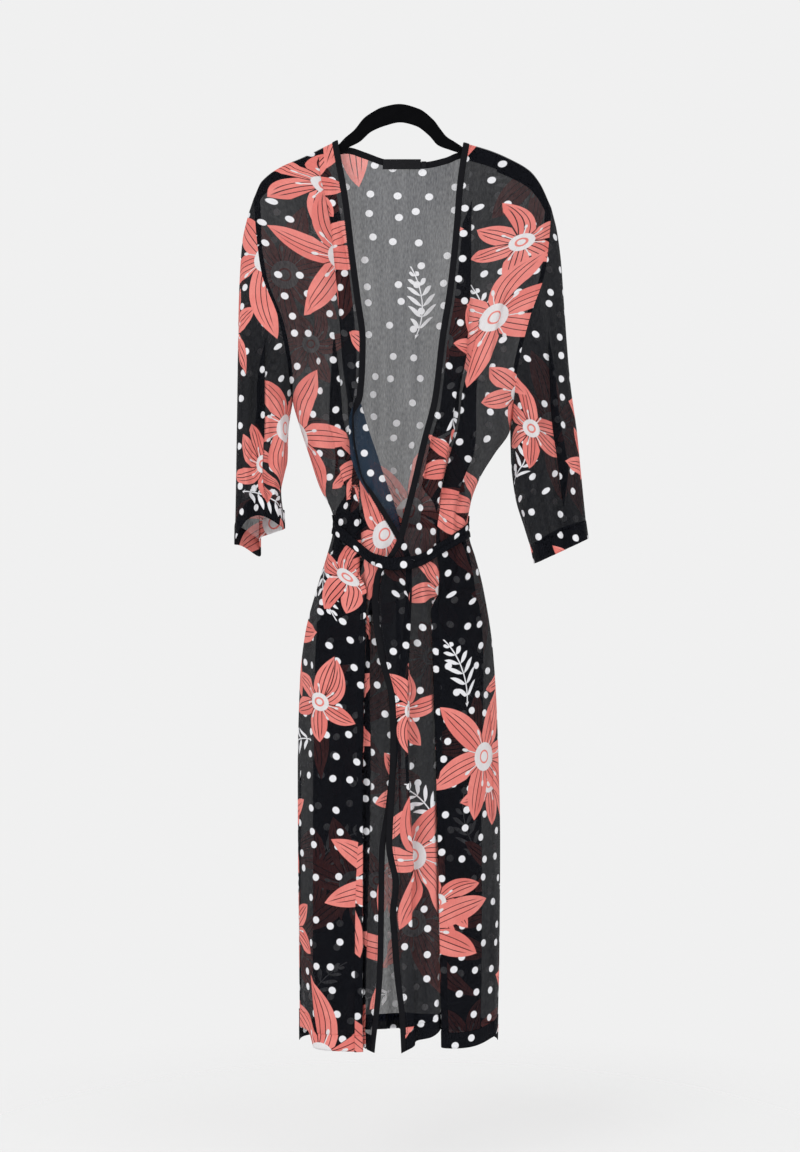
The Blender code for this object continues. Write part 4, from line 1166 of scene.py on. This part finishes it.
def pressed_tube(name, rows, flip, print_at=(0.0, 0.0), crease=0.8):
    """Belt stretch: moved out from the panel, a shallow fold along it, and a folded thickness."""
    rows = softened(rows, BELT_SOFT)
    normals = unit(np.cross(np.gradient(rows, axis=0), np.gradient(rows, axis=1)))
    away = np.sign((normals * rows * np.array([1, 1, 0])).sum(-1, keepdims=True))
    share = np.linspace(0, 1, len(rows))
    swell = 0.7 * np.sin(math.pi * share) - crease * bump(share - 0.5, 0.09)
    from_side = lengths_along(rows[len(rows) // 2])
    if name == "belt_behind":
        from_side = np.minimum(from_side, from_side[-1] - from_side)
    clear = blend(SIDE_CLEARANCE, BELT_CLEARANCE, ramp(from_side, 0, CLEAR_FROM))[None, :, None]
    rows = rows + normals * away * (clear + swell[:, None, None])
    flat = np.array([[(along, BELT_WIDTH * s) for along in lengths_along(row)]
                     for row, s in zip(rows, share)])
    with_wall(cloth(name, rows, flat, belt_chiffon, BELT_PRINT + print_at, flip), BELT_WALL)


def knot_rows():
    """Flat middle of the tied belt, laid over both fronts where they cross."""
    rows = []
    x = np.linspace(KNOT_FROM, KNOT_TO + 3, KNOT_POINTS)
    for height in np.linspace(0.5, -0.5, 17):
        z = belt_level(x, -1) + height * BELT_TIED + 1.2 * np.sin(x / 7) * abs(height)
        swell = 2.2 * math.cos(math.pi * height) * np.sin(math.pi * np.linspace(0.06, 0.94, KNOT_POINTS))
        crease = -0.8 * bump(x + 12 - height * 20, 3) - 0.6 * bump(x - 6 + height * 14, 2.5)
        y = -(smooth(FRONT_DEPTH, z) + OVERLAP_LIFT + BELT_CLEARANCE + 1.3 + swell + crease)
        rows.append(np.stack([x, y, z], 1))
    return np.array(rows)


tied = BELT_SIDE, BELT_TIED, BELT_TIED
pressed_tube("belt_behind", on_panel(plain_back, 1, (BELT_SIDE, BELT_WIDTH, BELT_WIDTH, BELT_SIDE)), True)
pressed_tube("belt_over_left", on_panel(plain_left, -1, tied, KNOT_FROM + KNOT_LAP), False)
pressed_tube("belt_over_right", on_panel(plain_right, -1, tied, KNOT_TO - KNOT_LAP), True, (0.4, 0.015), 2.2)
knot = knot_rows()
with_wall(cloth("belt_knot_in_front", knot, knot[..., [0, 2]], belt_chiffon, BELT_PRINT), KNOT_WALL)
print("belt pieces:", [name for name in made if name.startswith("belt")])

# %% [markdown]
# ## Hanger
#
# A flocked hanger is a flat moulded bar with round edges. A filled 2D curve, given a small extrude
# and a round bevel, is the simplest way to get one, and it is then turned upright and made a mesh.

# %% Hanger bar
ARCH_TOP = ((-98, -38), (-92, -37), (-84, -29.5), (-77, -22), (-64, -11), (-50, 6), (-37, 15),
            (-25, 21), (-1, 25.5), (26, 19), (47, 3), (56, -9), (65, -20), (76, -27), (85, -33),
            (93, -38.5), (100, -40))
HANGER_UNDER = ((-184, -92), (-175, -83), (-157, -72), (-135, -64), (-94, -46), (-74, -36),
                (-56, -27), (-40, -13), (-20, -4.5), (0, 0), (22, -5), (40, -18), (53, -32),
                (70, -38.5), (96, -47), (135, -63), (160, -74), (178, -88), (187, -100))
HANGER_TIPS = ((193, -98), (-191, -92))
HANGER_WALL, HANGER_ROUND, BELOW_RIDGE = 5.0, 1.9, 3.6


def arm_top(shoulder, xs):
    slopes = smooth(shoulder, xs + 0.5) - smooth(shoulder, xs - 0.5)
    return list(zip(xs, smooth(shoulder, xs) - BELOW_RIDGE * np.sqrt(1 + slopes ** 2)))


def hanger_outline():
    top = arm_top(SHOULDER_LEFT, np.linspace(-187, -101, 30))
    top += [(x, smooth(ARCH_TOP, x)) for x in np.linspace(-98, 100, 110)]
    top += arm_top(SHOULDER_RIGHT, np.linspace(103, 189, 30))
    under = [(x, smooth(HANGER_UNDER, x)) for x in np.linspace(187, -184, 160)]
    return top + [HANGER_TIPS[0]] + under + [HANGER_TIPS[1]]


def evaluated_mesh(holder):
    """The finished mesh of a curve or of a modifier's result; its holder is then removed."""
    bpy.context.view_layer.update()
    mesh = bpy.data.meshes.new_from_object(holder.evaluated_get(bpy.context.evaluated_depsgraph_get()))
    bpy.data.objects.remove(holder, do_unlink=True)
    return mesh


def hanger_bar():
    curve = bpy.data.curves.new("hanger_curve", "CURVE")
    curve.dimensions = "2D"
    curve.fill_mode = "BOTH"
    curve.extrude = (HANGER_WALL / 2 - HANGER_ROUND) * MM
    curve.bevel_depth = HANGER_ROUND * MM
    curve.bevel_resolution = 4
    curve.offset = -HANGER_ROUND * MM
    outline = hanger_outline()
    line = curve.splines.new("POLY")
    line.points.add(len(outline) - 1)
    for point, (x, z) in zip(line.points, outline):
        point.co = (x * MM, z * MM, 0, 1)
    line.use_cyclic_u = True
    mesh = evaluated_mesh(placed("hanger_curve", curve))
    points = np.array([v.co for v in mesh.vertices])
    upright = np.stack([points[:, 0], -points[:, 2], points[:, 1]], 1)
    mesh.vertices.foreach_set("co", upright.ravel())
    close_ends(mesh, [])
    finished("flocked_hanger", mesh, flock)


hanger_bar()
print("hanger faces:", len(made["flocked_hanger"].data.polygons))

# %% [markdown]
# ## Label
#
# A folded woven tab and a small size tab hang inside the back neck. They are blank tape here,
# slightly bowed, with the thickness of two layers.

# %% Label and tab
LABEL_IN, LABEL_WALL = 2.0, 0.8
Tab = namedtuple("Tab", "left right low high bow")


def tab(name, size, depth):
    """Blank folded tape that bows a little away from the neck, most at its lower middle."""
    across, down = np.linspace(0, 1, 22), np.linspace(0, 1, 10)
    x = np.tile(blend(size.left, size.right, across), (len(down), 1))
    z = np.tile(blend(size.high, size.low, down)[:, None], (1, len(across)))
    grid = np.stack([x, depth - size.bow * np.outer(down, np.sin(math.pi * across)), z], -1)
    with_wall(cloth(name, grid, grid[..., [0, 2]], label_cloth), LABEL_WALL)


label_depth = float(neck_line[:, 1].mean()) - LABEL_IN
tab("label_of_neck", Tab(-24, 29, -64, -50, 0.5), label_depth)
tab("tab_of_size", Tab(29.6, 36.5, -62, -53, 0.2), label_depth)
print("label at depth", round(label_depth, 1), "mm")

# %% [markdown]
# ## Stitches
#
# Every binding and hem is held by a row of short stitches. They repeat along a path, so Geometry
# Nodes make them: the path is resampled at the stitch pitch, a small rounded bar is put at each
# point along the path's direction, and the instances are made real so that they can be exported.

# %% Stitch rows
STITCHES = {"Pitch": 3.2 * MM, "Length": 2.3 * MM, "Thickness": 0.45 * MM, "Thread": thread}
STITCH_LIFT = 0.6


def stitch_tree():
    """Node group: rows of stitches along the edges of the mesh that it is given."""
    tree = bpy.data.node_groups.new("stitch_rows", "GeometryNodeTree")
    socket = tree.interface.new_socket
    socket(name="Geometry", in_out="INPUT", socket_type="NodeSocketGeometry")
    for name in STITCHES:
        kind = "NodeSocketMaterial" if name == "Thread" else "NodeSocketFloat"
        socket(name=name, in_out="INPUT", socket_type=kind)
    socket(name="Geometry", in_out="OUTPUT", socket_type="NodeSocketGeometry")
    given, curve, resample, bar, size, put, tangent, aim, real, paint, result = map(tree.nodes.new, (
        "NodeGroupInput", "GeometryNodeMeshToCurve", "GeometryNodeResampleCurve",
        "GeometryNodeMeshUVSphere", "ShaderNodeCombineXYZ", "GeometryNodeInstanceOnPoints",
        "GeometryNodeInputTangent", "FunctionNodeAlignEulerToVector", "GeometryNodeRealizeInstances",
        "GeometryNodeSetMaterial", "NodeGroupOutput"))
    resample.mode, aim.axis = "LENGTH", "X"
    for name, value in (("Segments", 6), ("Rings", 4), ("Radius", 0.5)):
        bar.inputs[name].default_value = value
    for source, out, target, into in (
            (given, "Geometry", curve, 0), (curve, 0, resample, "Curve"),
            (given, "Pitch", resample, "Length"), (resample, 0, put, "Points"),
            (bar, "Mesh", put, "Instance"), (tangent, 0, aim, "Vector"), (aim, 0, put, "Rotation"),
            (given, "Length", size, 0), (given, "Thickness", size, 1), (given, "Thickness", size, 2),
            (size, 0, put, "Scale"), (put, 0, real, 0), (real, 0, paint, "Geometry"),
            (given, "Thread", paint, "Material"), (paint, 0, result, 0)):
        tree.links.new(source.outputs[out], target.inputs[into])
    return tree


def stitched(name, paths):
    """One plain mesh of stitches along several paths of points in mm."""
    points, edges = [], []
    for path in paths:
        first = len(points)
        points += (path * MM).tolist()
        edges += [(first + k, first + k + 1) for k in range(len(path) - 1)]
    mesh = bpy.data.meshes.new(name + "_path")
    mesh.from_pydata(points, edges, [])
    holder = placed(name + "_path", mesh)
    modifier = holder.modifiers.new("stitches", "NODES")
    modifier.node_group = stitches
    for item in stitches.interface.items_tree:
        if item.in_out == "INPUT" and item.name in STITCHES:
            modifier[item.identifier] = STITCHES[item.name]
    finished("stitches_of_" + name, evaluated_mesh(holder), thread)


def along_hem(part):
    """Path just above a panel's last row, raised off its outer face."""
    line = part.grid[-2]
    away = unit((line - line.mean(0) * np.array([1, 1, 0])) * np.array([0.3, 1, 0]))
    path = line + away * STITCH_LIFT
    return np.vstack([path, path[:1]]) if part.closed else path


stitches = stitch_tree()
stitched("bindings", [grid[3:, -3] - np.array([0, 0.25, 0]) for grid in (front_left, front_right)]
         + [neck_line + np.array([0, 1.2, -0.4])])
stitched("hems", [along_hem(part) for part in PANELS.values() if not part.closed])
stitched("cuffs", [along_hem(part) for part in PANELS.values() if part.closed])
print("stitch faces:", sum(len(made[n].data.polygons) for n in made if n.startswith("stitches")))

# %% [markdown]
# ## What stands for what
#
# Each piece rides on the only body and hides the plain solid that it stands for. Every cloth
# piece also says how large it was cut.

# %% Declarations


def cut_of(thing):
    """Width and length of the piece's flat cloth and its area, from its own UV map."""
    layer = thing.data.uv_layers["cloth"].data
    places = np.zeros(len(layer) * 2)
    layer.foreach_get("uv", places)
    places = places.reshape(-1, 4, 2)
    across = places[:, 2] - places[:, 0], places[:, 3] - places[:, 1]
    area = np.abs(across[0][:, 0] * across[1][:, 1] - across[0][:, 1] * across[1][:, 0]).sum() / 2
    size = places.reshape(-1, 2).max(0) - places.reshape(-1, 2).min(0)
    return tuple(round(float(v), 3) for v in size), round(float(area), 3)


SLOTS = {
    "printed_chiffon": {
        "coat_back": "back", "coat_front_left": "front_left", "coat_front_right": "front_right",
        "coat_sleeve_left": "sleeve_left", "coat_sleeve_right": "sleeve_right",
        "hem_of_back": "hem_back", "hem_of_front_left": "hem_front_left",
        "hem_of_front_right": "hem_front_right", "cuff_of_sleeve_left": "cuff_left",
        "cuff_of_sleeve_right": "cuff_right", "belt_behind": "belt_back",
        "belt_over_left": "belt_left", "belt_over_right": "belt_right",
        "belt_knot_in_front": "belt_knot", "turned_edge_of_front_left": None,
        "allowances_of_back": None, "allowances_of_front_left": None,
        "allowances_of_front_right": None},
    "black_binding": {
        "binding_of_front_left": "edge_binding_left", "binding_of_front_right": "edge_binding_right",
        "binding_of_neck": "neck_binding", "stitches_of_bindings": None, "stitches_of_hems": None,
        "stitches_of_cuffs": None},
    "woven_label": {"label_of_neck": "label", "tab_of_size": "size_tab"},
    "black_flock": {"flocked_hanger": "hanger"},
}
for slot, pieces in SLOTS.items():
    for name, node in pieces.items():
        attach(made[name], "root")
        if node:
            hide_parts(node)
for name in PANELS:
    thing = made["coat_" + name]
    size, area = cut_of(thing)
    sewn_on = [piece for other, piece in made.items() if other.endswith("_of_" + name)]
    if name == "back":
        sewn_on += [made[other] for other in ("binding_of_neck", "label_of_neck", "tab_of_size")]
    print(name, "was cut", size, "m and", area, "square metres; it hangs as", area_of(thing))
print("pieces:", len(made), "on their slots:", {slot: len(pieces) for slot, pieces in SLOTS.items()})

# %% [markdown]
# ## Floor, light and camera
#
# The coat is shown in front of a plain pale ground. The world is one even pale light, which also
# shows through the sheer cloth, and two large soft lamps give the folds a direction. The floor is
# a pale disc below the hem that fades out at its rim.

# %% Studio
FLOOR_RADIUS, FLOOR_LEVEL, FLOOR_FADE, FLOOR_STRENGTH = 0.95, -1.46, 0.5, 0.55
FLOOR_PALE, WORLD_PALE = (0.87, 0.87, 0.87, 1), (0.872, 0.872, 0.872, 1)
CAMERA_PLACE, CAMERA_LENS = (0, -3.0, -0.630), 67.5


def pale_floor():
    recipe = Recipe("pale_floor")
    x, y, _ = recipe.split(recipe.place())
    fade = ((FLOOR_RADIUS - distance(x, y)) / FLOOR_FADE | 0.0) & 1.0
    material = recipe.finish(Base_Color=FLOOR_PALE, Alpha=fade * FLOOR_STRENGTH, Roughness=0.9,
                             Specular_IOR_Level=0.0)
    bpy.ops.mesh.primitive_circle_add(vertices=96, radius=FLOOR_RADIUS, fill_type="NGON",
                                      location=(0, 0, FLOOR_LEVEL))
    floor = bpy.context.object
    floor.name = "studio_floor"
    floor.data.materials.append(material)


def soft_lamp(name, place, aim, size, power):
    data = bpy.data.lights.new(name, "AREA")
    data.energy, data.size = power, size
    lamp = placed(name, data)
    lamp.location = place
    x, y, z = np.array(aim) - np.array(place)
    lamp.rotation_euler = (math.atan2(math.hypot(x, y), -z), 0, math.atan2(-x, y))


pale_floor()
soft_lamp("key_softbox", (-1.6, -2.4, 0.5), (0, 0, -0.6), 1.4, 26)
soft_lamp("fill_softbox", (1.8, -2.2, -0.3), (0, 0, -0.7), 1.6, 12)
world = bpy.data.worlds.new("pale_studio")
world.use_nodes = True
world.node_tree.nodes["Background"].inputs[0].default_value = WORLD_PALE
world.node_tree.nodes["Background"].inputs[1].default_value = 1.0
bpy.context.scene.world = world

camera_data = bpy.data.cameras.new("photo_camera")
camera_data.lens = CAMERA_LENS
camera = placed("photo_camera", camera_data)
camera.location = CAMERA_PLACE
camera.rotation_euler = (math.pi / 2, 0, 0)
bpy.context.scene.camera = camera
print("camera", tuple(camera.location))
